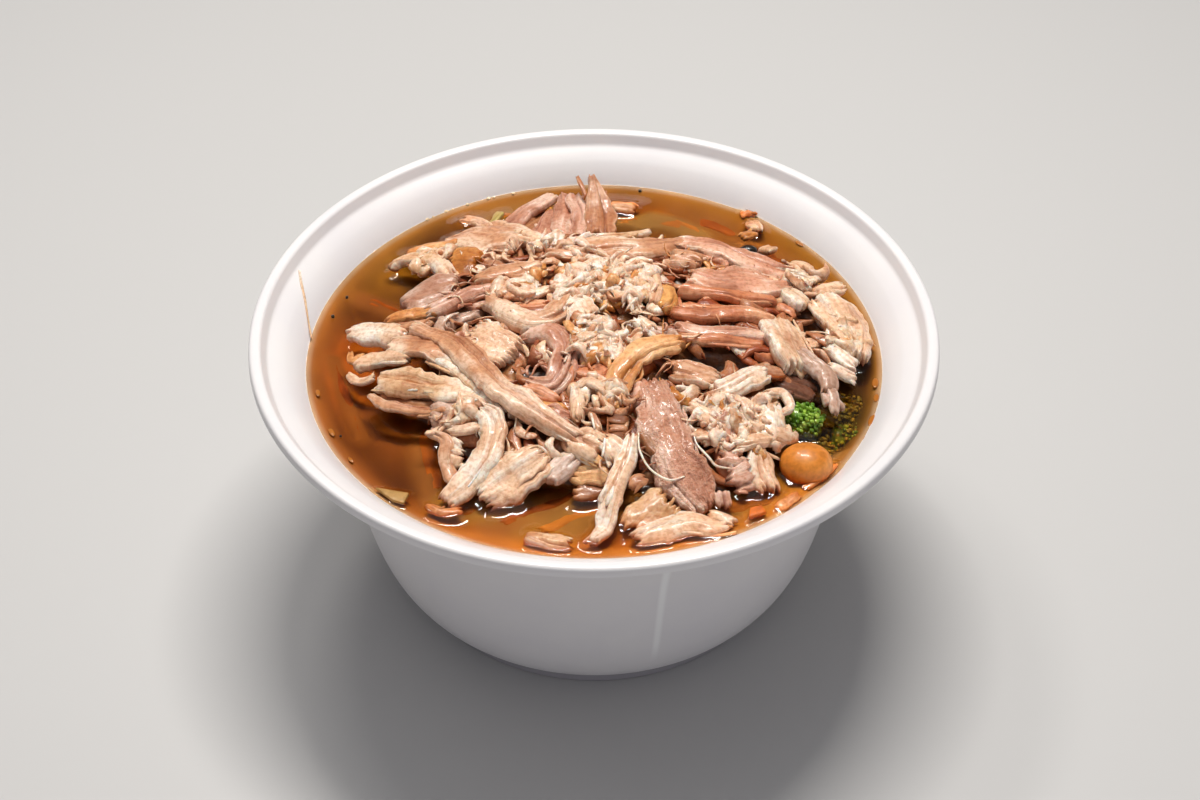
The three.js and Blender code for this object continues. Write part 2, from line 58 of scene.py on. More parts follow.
def linear(hex_colour):
    """sRGB hex to linear light: below 0.04045 divide by 12.92, above it ((c + 0.055) / 1.055) ** 2.4."""
    channels = np.array([int(hex_colour[i:i + 2], 16) for i in (1, 3, 5)]) / 255
    return np.where(channels > 0.04045, ((channels + 0.055) / 1.055) ** 2.4, channels / 12.92)


def rgba(hex_colour):
    """A linear colour with full cover, as a shader socket takes it."""
    return (*linear(hex_colour), 1.0)


# %% [markdown]
# Torn meat is uneven at every scale. Value noise gives that: a random number at every corner of a
# grid, and a smooth blend between the corners. It is written for whole arrays at once, so a mesh of
# any size takes one call.

# %% Noise for whole arrays
def lattice_value(corner, seed):
    """A repeatable number from -1 to 1 for each whole-number corner, by mixing its bits."""
    x, y, z = (corner[..., i].astype(np.uint32) for i in range(3))
    mixed = x * np.uint32(374761393) + y * np.uint32(668265263) + z * np.uint32(2147483647)
    mixed += np.uint32(seed * 974634777 % 4294967296)
    mixed = (mixed ^ (mixed >> np.uint32(13))) * np.uint32(1274126177)
    mixed ^= mixed >> np.uint32(16)
    return mixed.astype(np.float64) / 2147483647.5 - 1


def noise(points, size, seed=0):
    """Value noise: corners of a grid with cells of the given size, blended by 3t^2 - 2t^3 each way."""
    scaled = np.asarray(points, float) / size + 1000.0
    cell = np.floor(scaled).astype(np.int64)
    part = scaled - cell
    blend = part * part * (3 - 2 * part)
    total = np.zeros(scaled.shape[:-1])
    for corner in np.ndindex(2, 2, 2):
        weight = np.prod(np.where(corner, blend, 1 - blend), axis=-1)
        total += weight * lattice_value(cell + np.array(corner), seed)
    return total


def noise_along(along, across, size_along, size_across, seed=0):
    """Noise stretched along a fibre: long cells one way and short cells the other."""
    flat = np.broadcast_to(np.zeros(()), np.broadcast(along, across).shape)
    return noise(np.stack([along / size_along + flat, across / size_across + flat, flat], -1), 1.0, seed)


def smooth(value, low, high):
    """0 below low, 1 above high, and 3t^2 - 2t^3 between them."""
    t = np.clip((value - low) / (high - low), 0, 1)
    return t * t * (3 - 2 * t)


# %% [markdown]
# ## Making pieces
#
# A piece is a list of corners and faces. Big arrays go into the mesh in one step, and each piece is then
# smoothed, given its material, tied to the body, and the plain solids it stands for are hidden.

# %% Meshes from arrays
def add_mesh(name, corners_mm, quads, attributes=None):
    """Corners in millimetres and four-cornered faces, with optional colours or numbers per corner."""
    mesh = bpy.data.meshes.new(name)
    mesh.vertices.add(len(corners_mm))
    mesh.vertices.foreach_set("co", (np.asarray(corners_mm) * MM).astype(np.float32).ravel())
    mesh.loops.add(4 * len(quads))
    mesh.loops.foreach_set("vertex_index", np.asarray(quads, np.int32).ravel())
    mesh.polygons.add(len(quads))
    mesh.polygons.foreach_set("loop_start", np.arange(0, 4 * len(quads), 4, dtype=np.int32))
    mesh.polygons.foreach_set("use_smooth", np.ones(len(quads), bool))
    for key, values in (attributes or {}).items():
        values = np.asarray(values, np.float32)
        if values.ndim == 1:
            mesh.attributes.new(key, "FLOAT", "POINT").data.foreach_set("value", values)
        elif values.shape[1] == 2:
            layer = mesh.uv_layers.new(name=key)
            layer.data.foreach_set("uv", values[np.asarray(quads).ravel()].ravel())
        else:
            solid = np.c_[values, np.ones(len(values))].astype(np.float32)
            mesh.attributes.new(key, "FLOAT_COLOR", "POINT").data.foreach_set("color", solid.ravel())
    mesh.update(calc_edges=True)
    mesh.validate()
    piece = bpy.data.objects.new(name, mesh)
    bpy.context.scene.collection.objects.link(piece)
    return piece


def finish_piece(piece, material, slot, *nodes):
    """Material and body, and the plain solids that the piece stands for, which are hidden. The slot is not
    used.
    """
    piece.data.materials.append(material)
    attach(piece, BODY)
    if nodes:
        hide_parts(*nodes)
    triangles = sum(len(face.vertices) - 2 for face in piece.data.polygons)
    print(f"{piece.name}: {triangles} triangles")


def tube_quads(rows, columns):
    """Faces of a tube: each row's last column joins its first."""
    row, column = np.meshgrid(np.arange(rows - 1), np.arange(columns), indexing="ij")
    after = (column + 1) % columns
    corners = [row * columns + column, row * columns + after]
    corners += [(row + 1) * columns + after, (row + 1) * columns + column]
    return np.stack(corners, -1).reshape(-1, 4)


def closed_quads(rows, columns):
    """A tube closed at both ends by a pole: the two corners that follow the last row."""
    even = np.arange(0, columns, 2)
    odd, after = even + 1, (even + 2) % columns
    last = (rows - 1) * columns
    first_pole = np.full(len(even), rows * columns)
    start = np.stack([after, odd, even, first_pole], 1)
    end = np.stack([last + even, last + odd, last + after, first_pole + 1], 1)
    return np.concatenate([tube_quads(rows, columns), start, end])


def sheet_quads(rows, columns):
    """Faces of an open sheet of rows by columns corners."""
    row, column = np.meshgrid(np.arange(rows - 1), np.arange(columns - 1), indexing="ij")
    first = row * columns + column
    return np.stack([first, first + 1, first + columns + 1, first + columns], -1).reshape(-1, 4)


# %% [markdown]
# One small function adds a shader node with its settings and its links. A setting is given by the
# socket's name, and a link is another node's output socket.

# %% Shader nodes
def add_node(tree, kind, settings=None, **properties):
    """A new node: properties on the node itself, then a value or a link for each named input."""
    node = tree.nodes.new(kind)
    for key, value in properties.items():
        setattr(node, key, value)
    for key, value in (settings or {}).items():
        if isinstance(value, bpy.types.NodeSocket):
            tree.links.new(value, node.inputs[key])
        else:
            node.inputs[key].default_value = value
    return node


def new_material(name):
    """An empty node material and its output node."""
    material = bpy.data.materials.new(name)
    material.use_nodes = True
    material.node_tree.nodes.clear()
    return material, material.node_tree, material.node_tree.nodes.new("ShaderNodeOutputMaterial")


def mixed_colour(tree, factor, first, second, mode="MIX"):
    """The blended colour of two colours or links, by a factor or a link."""
    node = add_node(tree, "ShaderNodeMix", data_type="RGBA", blend_type=mode)
    for index, value in ((0, factor), (6, first), (7, second)):
        if isinstance(value, bpy.types.NodeSocket):
            tree.links.new(value, node.inputs[index])
        else:
            node.inputs[index].default_value = value
    return node.outputs[2]


def ramp(tree, value, *stops):
    """A colour ramp through (position, hex colour) stops."""
    node = add_node(tree, "ShaderNodeValToRGB", {"Fac": value})
    for extra in range(len(stops) - 2):
        node.color_ramp.elements.new(0.5)
    for element, (position, hex_colour) in zip(node.color_ramp.elements, stops):
        element.position = position
        element.color = rgba(hex_colour)
    return node.outputs["Color"]


# %% [markdown]
# ## Camera, floor and light
#
# The bowl is looked down on by about forty degrees from its front, from half a metre. The lamp that
# matters most is a short bright tube, overhead and a little behind: wherever broth climbs up a strip of
# meat, its curved edge leans just far enough to show that lamp as a thin bright line. A smaller lamp
# further back does the same at the left, and two wide soft ones fill the shadows.

# %% Camera
CAMERA_PLACE = (1.6, -402.4, 413.9)    # mm
CAMERA_DOWN = 41.7                     # degrees below the horizon
CAMERA_LENS = 57.74                    # mm, on a 36 mm sensor

camera_data = bpy.data.cameras.new("soup_camera")
camera_data.lens = CAMERA_LENS
camera_data.sensor_width = 36
camera = bpy.data.objects.new("soup_camera", camera_data)
camera.location = [value * MM for value in CAMERA_PLACE]
camera.rotation_euler = (np.radians(90 - CAMERA_DOWN), 0, 0)
bpy.context.scene.collection.objects.link(camera)
bpy.context.scene.camera = camera


# %% Floor and lights
SOUP = (0, 0, 0.08)         # metres: what the lamps from above are aimed at


def area_light(name, place, size, watts, colour, aim=SOUP):
    """A soft light of (width, depth) at a place, in metres, that faces its aim."""
    data = bpy.data.lights.new(name, "AREA")
    data.shape = "RECTANGLE"
    data.size, data.size_y = size
    data.energy = watts
    data.color = linear(colour)
    lamp = bpy.data.objects.new(name, data)
    lamp.location = place
    away = np.array(place) - np.array(aim)
    lamp.rotation_euler = (np.arccos(away[2] / np.linalg.norm(away)), 0, np.arctan2(away[0], -away[1]))
    bpy.context.scene.collection.objects.link(lamp)
    return lamp


FLOOR_EDGE = 3000          # mm from the middle
floor_corners = [[x, y, 0] for y in (-FLOOR_EDGE, FLOOR_EDGE) for x in (-FLOOR_EDGE, FLOOR_EDGE)]
floor = add_mesh("floor", floor_corners, [[0, 1, 3, 2]])
floor_material, tree, output = new_material("painted_floor")
shader = add_node(tree, "ShaderNodeBsdfPrincipled", {"Base Color": rgba("#c9c8c8"), "Roughness": 0.6})
tree.links.new(shader.outputs["BSDF"], output.inputs["Surface"])
floor.data.materials.append(floor_material)

area_light("overhead_softbox", (-0.15, 0.1, 1.1), (0.9, 0.9), 1.8, "#ffffff")
area_light("ceiling_lamp", (0.05, 0.26, 0.95), (0.42, 0.08), 7.9, "#fffbf4")
area_light("rear_lamp", (-0.28, 0.42, 0.9), (0.2, 0.07), 1.5, "#fffbf4")
area_light("front_fill", (0.3, -1.0, 0.35), (0.8, 0.5), 1.2, "#f6f7ff", aim=(0, 0, 0.06))

world = bpy.data.worlds.new("studio")
bpy.context.scene.world = world
world.use_nodes = True
daylight = world.node_tree.nodes["Background"]
daylight.inputs["Color"].default_value = rgba("#f0f0f2")
daylight.inputs["Strength"].default_value = 0.19
bpy.context.scene.view_settings.view_transform = "Standard"
lamps = [lamp.name for lamp in bpy.context.scene.objects if lamp.type == "LIGHT"]
print("lamps:", ", ".join(lamps))

# %% [markdown]
# ## The bowl
#
# The real bowl is polypropylene, injection moulded in one shot: a foot band, a thin wall that bends out
# like a bell, a step for the lid to sit on and a raised outer lip. The plain solid has the same
# outline with flats, so the fine one is turned from the same measures, with every corner rounded.

# %% The bowl's measures, the same as the solid's
BOWL_HEIGHT = 84.5
RIM_RADIUS = 92.5
SKIRT_RADIUS = 92.8
SKIRT_DROP = 2.6
LIP_WIDTH = 3.3
SEAT_DEPTH = 3.65
SEAT_RUN = 1.6
WALL = 1.2
FOOT_RADIUS = 55.4
FOOT_BAND = 4.4
FOOT_RING = 5.0
RECESS = 1.2
WALL_CURVE = np.array([[55.4, 4.4], [73.1, 12.7], [63.5, 65.6], [87.0, 79.6]])
BROTH_LEVEL = 73.0
BOWL_COLUMNS = 200         # flats round the fine bowl
CORNER_STEPS = 6           # points on each rounded corner


def wall_line(inset, count=60):
    """The wall's cubic curve (1-t)^3 A + 3(1-t)^2 t B + 3(1-t) t^2 C + t^3 D, moved inwards."""
    t = np.linspace(0, 1, count)[:, None]
    a, b, c, d = WALL_CURVE
    point = (1 - t) ** 3 * a + 3 * (1 - t) ** 2 * t * b + 3 * (1 - t) * t ** 2 * c + t ** 3 * d
    slope = 3 * (1 - t) ** 2 * (b - a) + 6 * (1 - t) * t * (c - b) + 3 * t ** 2 * (d - c)
    slope /= np.linalg.norm(slope, axis=1, keepdims=True)
    return point + inset * np.stack([-slope[:, 1], slope[:, 0]], 1)


def rounded(corners):
    """Each (radius, height, rounding) corner becomes a short curve between points set back from it."""
    points = np.array([corner[:2] for corner in corners], float)
    line = [points[:1]]
    t = np.linspace(0, 1, CORNER_STEPS)[:, None]
    for before, here, after, size in zip(points, points[1:], points[2:], [c[2] for c in corners[1:]]):
        start = here + (before - here) * min(0.5, size / np.linalg.norm(before - here))
        end = here + (after - here) * min(0.5, size / np.linalg.norm(after - here))
        line.append((1 - t) ** 2 * start + 2 * (1 - t) * t * here + t ** 2 * end)
    line.append(points[-1:])
    return np.concatenate(line)


def turned(outline, columns):
    """Corners and faces of an outline of (radius, height), from axis to axis, turned round Z."""
    outline = np.asarray(outline)
    angle = np.linspace(0, 2 * np.pi, columns, endpoint=False)
    ring = outline[1:-1]
    x = ring[:, :1] * np.cos(angle)
    y = ring[:, :1] * np.sin(angle)
    z = np.broadcast_to(ring[:, 1:], x.shape)
    poles = [[0, 0, outline[0, 1]], [0, 0, outline[-1, 1]]]
    return np.concatenate([np.stack([x, y, z], -1).reshape(-1, 3), poles]), closed_quads(len(ring), columns)


# %% Turn the bowl
SEAT_RADIUS = RIM_RADIUS - LIP_WIDTH - SEAT_RUN
SEAT_HEIGHT = BOWL_HEIGHT - SEAT_DEPTH
FLOOR_HEIGHT = RECESS + WALL
LIP_INSIDE = RIM_RADIUS - LIP_WIDTH + 0.4

foot_line = rounded([
    (0, RECESS, 0), (FOOT_RADIUS - FOOT_RING - 0.6, RECESS, 0.6), (FOOT_RADIUS - FOOT_RING, 0, 0.5),
    (FOOT_RADIUS, 0, 0.8), (FOOT_RADIUS - 0.3, FOOT_BAND - 0.5, 0.2),
    (FOOT_RADIUS - 0.3, FOOT_BAND - 0.1, 0.1),
])
rim_line = rounded([
    (87.4, 79.9, 0), (LIP_INSIDE, BOWL_HEIGHT - WALL, 0.8), (SKIRT_RADIUS - WALL, BOWL_HEIGHT - WALL, 0.6),
    (SKIRT_RADIUS - 0.8, BOWL_HEIGHT - SKIRT_DROP, 0.25), (SKIRT_RADIUS, BOWL_HEIGHT - SKIRT_DROP, 0.25),
    (RIM_RADIUS, BOWL_HEIGHT, 1.1), (LIP_INSIDE, BOWL_HEIGHT, 0.9),
    (SEAT_RADIUS + 0.4, SEAT_HEIGHT + 0.4, 0.7), (SEAT_RADIUS - 1.0, SEAT_HEIGHT - 0.4, 0),
])
inner_wall = wall_line(WALL)[2:-2][::-1]
floor_line = rounded([
    (FOOT_RADIUS + 0.5, 6.4, 0), (FOOT_RADIUS - 2.6, FLOOR_HEIGHT, 3), (0, FLOOR_HEIGHT, 0),
])
bowl_outline = np.concatenate([foot_line, wall_line(0)[1:], rim_line[1:], inner_wall, floor_line[1:]])
bowl = add_mesh("takeaway_bowl", *turned(bowl_outline, BOWL_COLUMNS))
print(f"bowl outline: {len(bowl_outline)} points, rim {2 * SKIRT_RADIUS:.1f} mm across")

# %% [markdown]
# Polypropylene is slightly waxy: white with a cool cast, a soft sheen, and a very fine orange-peel texture
# from the mould. Light goes a little way into it, which softens the shadows under the lip. Three marks of
# light and shade are painted into its colour: painted shade makes the foot band a darker grey, a pale painted
# highlight runs down the front of the wall, and a warm patch of painted light lies near the top of the wall
# at the front left. All three are drawn by place, with plain arithmetic on the object's coordinates.


# %% Moulded polypropylene
PAINTED_STREAK = (-0.276, -0.262, -0.25, -0.236)   # x over y: where the painted highlight streak begins, is full, and ends
PAINTED_STREAK_HEIGHT = (16, 26, 60, 80)                # mm up
PAINTED_WARM_LIGHT = (0.16, 0.26, 0.4, 0.52)                # x over y: where the warm patch of painted light lies on the wall
PAINTED_WARM_LIGHT_HEIGHT = (64, 73, 77, 81)                # mm up


def moulded_polypropylene():
    """White polypropylene as moulded: waxy sheen, faint cloudiness 20 mm across, 0.9 mm orange peel, and
    three marks painted into its colour: painted shade on the foot band, a pale painted highlight streak down
    the front of the wall, and a warm patch of painted light near the top of the wall at the front left."""
    material, tree, output = new_material("moulded_polypropylene")
    place = add_node(tree, "ShaderNodeTexCoord").outputs["Object"]
    clouds = add_node(tree, "ShaderNodeTexNoise", {"Vector": place, "Scale": 1 / (20 * MM), "Detail": 3.0})
    peel = add_node(tree, "ShaderNodeTexNoise", {"Vector": place, "Scale": 1 / (0.9 * MM), "Detail": 2.0})
    colour = ramp(tree, clouds.outputs["Fac"], (0.3, "#e6e3e6"), (0.7, "#ebe8e9"))
    parts = add_node(tree, "ShaderNodeSeparateXYZ", {"Vector": place})

    def arithmetic(operation, first, second):
        return add_node(tree, "ShaderNodeMath", {0: first, 1: second}, operation=operation).outputs["Value"]

    def share(value, limits, unit_length=MM):
        """1 between the two inner limits and 0 beyond the outer ones."""
        rise = add_node(tree, "ShaderNodeMapRange", {
            "Value": value, "From Min": limits[0] * unit_length, "From Max": limits[1] * unit_length})
        fall = add_node(tree, "ShaderNodeMapRange", {
            "Value": value, "From Min": limits[3] * unit_length, "From Max": limits[2] * unit_length})
        return arithmetic("MULTIPLY", rise.outputs["Result"], fall.outputs["Result"])

    slope = arithmetic("DIVIDE", parts.outputs["X"], parts.outputs["Y"])
    # Painted highlight: a pale streak down the front of the wall, in place of a reflection.
    painted_streak = arithmetic("MULTIPLY", share(slope, PAINTED_STREAK, 1), share(parts.outputs["Z"], PAINTED_STREAK_HEIGHT))
    painted_streak = arithmetic("MULTIPLY", painted_streak, share(parts.outputs["Y"], (-92, -88, -56, -50)))
    colour = mixed_colour(tree, arithmetic("MULTIPLY", painted_streak, 0.7), colour, rgba("#ffffff"))
    # Painted light: a warm patch near the top of the wall at the front left.
    warm_light = arithmetic("MULTIPLY", share(slope, PAINTED_WARM_LIGHT, 1), share(parts.outputs["Z"], PAINTED_WARM_LIGHT_HEIGHT))
    warm_light = arithmetic("MULTIPLY", warm_light, share(parts.outputs["Y"], (-92, -88, -40, -30)))
    colour = mixed_colour(tree, arithmetic("MULTIPLY", warm_light, 0.35), colour, rgba("#e0a070"))
    # Painted shade: the foot band is drawn a darker grey.
    foot = share(parts.outputs["Z"], (-2, -1, FOOT_BAND - 0.5, FOOT_BAND))
    colour = mixed_colour(tree, foot, colour, rgba("#a5a1a7"))
    bump = add_node(tree, "ShaderNodeBump", {
        "Height": peel.outputs["Fac"], "Strength": 0.12, "Distance": 0.05 * MM})
    shader = add_node(tree, "ShaderNodeBsdfPrincipled", {
        "Base Color": colour, "Roughness": 0.3, "IOR": 1.49,
        "Subsurface Weight": 0.15, "Subsurface Radius": (1.0, 1.0, 1.0), "Subsurface Scale": 0.6 * MM,
        "Normal": bump.outputs["Normal"]})
    tree.links.new(shader.outputs["BSDF"], output.inputs["Surface"])
    return material


finish_piece(bowl, moulded_polypropylene(), "bowl_plastic", "bowl")

# %% [markdown]
# ## Torn chicken
#
# Boiled chicken comes apart along its muscle fibres. A torn strip is a flat bundle of strands: ridges
# run along it, clefts open from its ends, and its ends are ragged because each strand breaks at its
# own length. It could be cut from a block or grown by a fibre system, but carrying a flattened
# section along a path gives full control of where each strip lies, so that is what is done here.

# %% The heap's outer surface, the same as the solid's
HEAP_CENTRE_X = 4
HEAP_RADIUS_X = 76
HEAP_RADIUS_Y = 68
HEAP_EDGE = 1.5
HEAP_RISE = 13
HEAP_POWER = 2.4


def mound_height(x, y):
    """Level + edge + rise * (1 - reach ** power), with reach 0 in the middle and 1 at the rim."""
    reach = np.hypot((x - HEAP_CENTRE_X) / HEAP_RADIUS_X, y / HEAP_RADIUS_Y)
    return BROTH_LEVEL + HEAP_EDGE + HEAP_RISE * np.maximum(0, 1 - reach ** HEAP_POWER)


def mound_normal(x, y):
    """Upwards direction of the mound, from its slope over 3 mm."""
    step = 1.5
    slope_x = (mound_height(x + step, y) - mound_height(x - step, y)) / (2 * step)
    slope_y = (mound_height(x, y + step) - mound_height(x, y - step)) / (2 * step)
    normal = np.stack([-slope_x, -slope_y, np.ones_like(slope_x)], -1)
    return normal / np.linalg.norm(normal, axis=-1, keepdims=True)


# %% [markdown]
# A strip's path is given by two to seven points. A Catmull-Rom curve is drawn through them, because it
# passes through every point and needs no handles, and it is then cut into even steps.

# %% A smooth path through given points
def smooth_path(points, spacing=0.5):
    """Catmull-Rom curve: each span blends its four nearest points by cubic weights, then the whole
    curve is resampled at an even spacing."""
    points = np.asarray(points, float)
    padded = np.concatenate([[2 * points[0] - points[1]], points, [2 * points[-1] - points[-2]]])
    t = np.linspace(0, 1, 20, endpoint=False)[:, None]
    spans = []
    for a, b, c, d in zip(padded, padded[1:], padded[2:], padded[3:]):
        cubic = 2 * b + (c - a) * t + (2 * a - 5 * b + 4 * c - d) * t ** 2
        spans.append((cubic + (3 * b - a - 3 * c + d) * t ** 3) / 2)
    curve = np.concatenate(spans + [points[-1:]])
    lengths = np.r_[0, np.cumsum(np.linalg.norm(np.diff(curve, axis=0), axis=1))]
    stations = np.linspace(0, lengths[-1], max(4, int(lengths[-1] / spacing) + 1))
    return stations, np.stack([np.interp(stations, lengths, curve[:, i]) for i in range(3)], 1)


def unit(vectors):
    """Vectors scaled to length one."""
    return vectors / np.maximum(np.linalg.norm(vectors, axis=-1, keepdims=True), 1e-9)


# %% [markdown]
# The strip itself. Its rows run along the path and its columns go round the section. The place across
# the strip, from one edge to the other, decides which strand a point belongs to, and so how far that
# strand reaches, how high its ridge is, and where a cleft opens.

# %% A torn strip
# The light colour also serves as painted highlight on ridge tops and upper edges, and the dark one as painted
# shade in hollows and undersides.
TONES = {                  # each kind of meat: body, lighter ridges, darker hollows
    "cream": ("#f6ceac", "#fff4e6", "#b4693a"),
    "pale": ("#edc49c", "#fff2e2", "#b56c34"),
    "tan": ("#d69c74", "#f9dcc2", "#8c441c"),
    "pink": ("#cf9478", "#f6d2be", "#844026"),
    "brown": ("#9a5f3a", "#c48e64", "#4c240d"),
    "amber": ("#c67c34", "#ecb06a", "#7a3c0e"),
    "golden": ("#dd9452", "#fac892", "#8c4e18"),
    "grey": ("#c8a28c", "#ecd4c6", "#7c5642"),
    "red": ("#d2845a", "#f3b890", "#7e3e22"),
    "rose": ("#dea082", "#fad6be", "#90502e"),
    "mauve": ("#bc876c", "#dcbcaa", "#743822"),
    "spike": ("#bf7f56", "#deb090", "#7c3c1a"),
    "soaked": ("#dca878", "#f0cc9e", "#a06c38"),
    # Painted shade: a darkened tone for meat that lies deep in the heap.
    "shade": ("#7c4e38", "#9a6c54", "#3c2014"),
    "murky": ("#8a5430", "#a06a40", "#54301c"),
    "sunken": ("#8c5a36", "#b07c50", "#5a3620"),
    "drowned": ("#946c3e", "#b08850", "#6a4626"),
    "grainy": ("#d69c80", "#f8d8c6", "#8c4a30"),
    "leaf": ("#b7a24c", "#ddd08a", "#77662a"),
    # Painted glint: near-white for the threads that stand for glint lines.
    "glint_white": ("#fff4e4", "#ffffff", "#e4c4a0"),
    "crumb": ("#fddcc2", "#fff8ee", "#d4966a"),
}


def tone_colours(names):
    """Body, light and dark linear colours for each name: an array of names by three by three."""
    return np.array([[linear(colour) for colour in TONES[name]] for name in names])


SOAK_HEIGHT = 2.8          # mm above the level to which broth soaks into meat


def meat_tint(tones, lightness, hollow, height):
    """Body to light above half lightness and to dark below it, pulled to dark in hollows as painted shade,
    and stained by broth near its level."""
    body, light, dark = tones
    tint = body + (light - body) * smooth(lightness, 0.45, 1.0)[..., None]
    # Painted shade: the hollow share pulls the tint towards the dark colour.
    darkness = np.clip(0.55 * smooth(0.45 - lightness, 0, 0.45) + 0.85 * hollow, 0, 1)
    tint = tint + (dark - tint) * darkness[..., None]
    soaked = smooth(BROTH_LEVEL + SOAK_HEIGHT - height, 0, SOAK_HEIGHT)
    stained = tint * linear("#dc9a55") * 1.2
    return tint + (stained - tint) * 0.75 * soaked[..., None], soaked


def folded_ends(rows, columns, count=1):
    """Which corner stands for each corner when both end rings are pressed flat onto themselves."""
    stands = np.arange(rows * columns)
    mirror = np.minimum(np.arange(columns), (-np.arange(columns)) % columns)
    stands[:columns] = mirror
    stands[-columns:] = (rows - 1) * columns + mirror
    return (stands + rows * columns * np.arange(count)[:, None]).ravel()


class MeatPile:
    """Collects many strips and crumbs, so that each kind becomes one mesh."""

    def __init__(self):
        self.parts = []
        self.count = 0

    def add(self, corners, quads, tint, grain, wet):
        """Corners, faces, tint, fibre place and wetness of one more group."""
        self.parts.append((corners, quads + self.count, tint, grain, wet))
        self.count += len(corners)

    def arrays(self):
        """Everything so far as five arrays."""
        return [np.concatenate([part[i] for part in self.parts]) for i in range(5)]


def inside_wall(corners, gap, ease=1.0):
    """Presses corners in towards the axis near a limit, which is the bowl's inside less the gap.

    A corner d mm inside the limit goes (d + sqrt(d^2 + ease^2)) / 2 mm inside it, so none passes it.
    """
    inner = wall_line(WALL)
    radius = np.hypot(corners[:, 0], corners[:, 1])
    limit = np.interp(corners[:, 2], inner[:, 1], inner[:, 0]) - gap
    inside = limit - radius
    share = (limit - (inside + np.hypot(inside, ease)) / 2) / np.maximum(radius, 0.1)
    return np.c_[corners[:, :2] * share[:, None], corners[:, 2]]


def press_inside(pile, gap):
    """Keeps everything in a pile inside the wall."""
    pile.parts = [(inside_wall(part[0], gap), *part[1:]) for part in pile.parts]


def strip_path(path, thickness, wobble, seed):
    """Stations, centre line and upward directions of a strip whose tops are given over the mound."""
    path = np.asarray(path, float)
    path = np.c_[path[:, :2], mound_height(path[:, 0], path[:, 1]) + path[:, 2] - thickness / 2]
    stations, curve = smooth_path(path)
    shake = np.stack([noise_along(stations, 0.0, 9.0, 1.0, seed + k) for k in range(3)], 1)
    curve = curve + wobble * shake * smooth(np.minimum(stations, stations[-1] - stations), -1, 5)[:, None]
    return stations, curve, mound_normal(curve[:, 0], curve[:, 1])


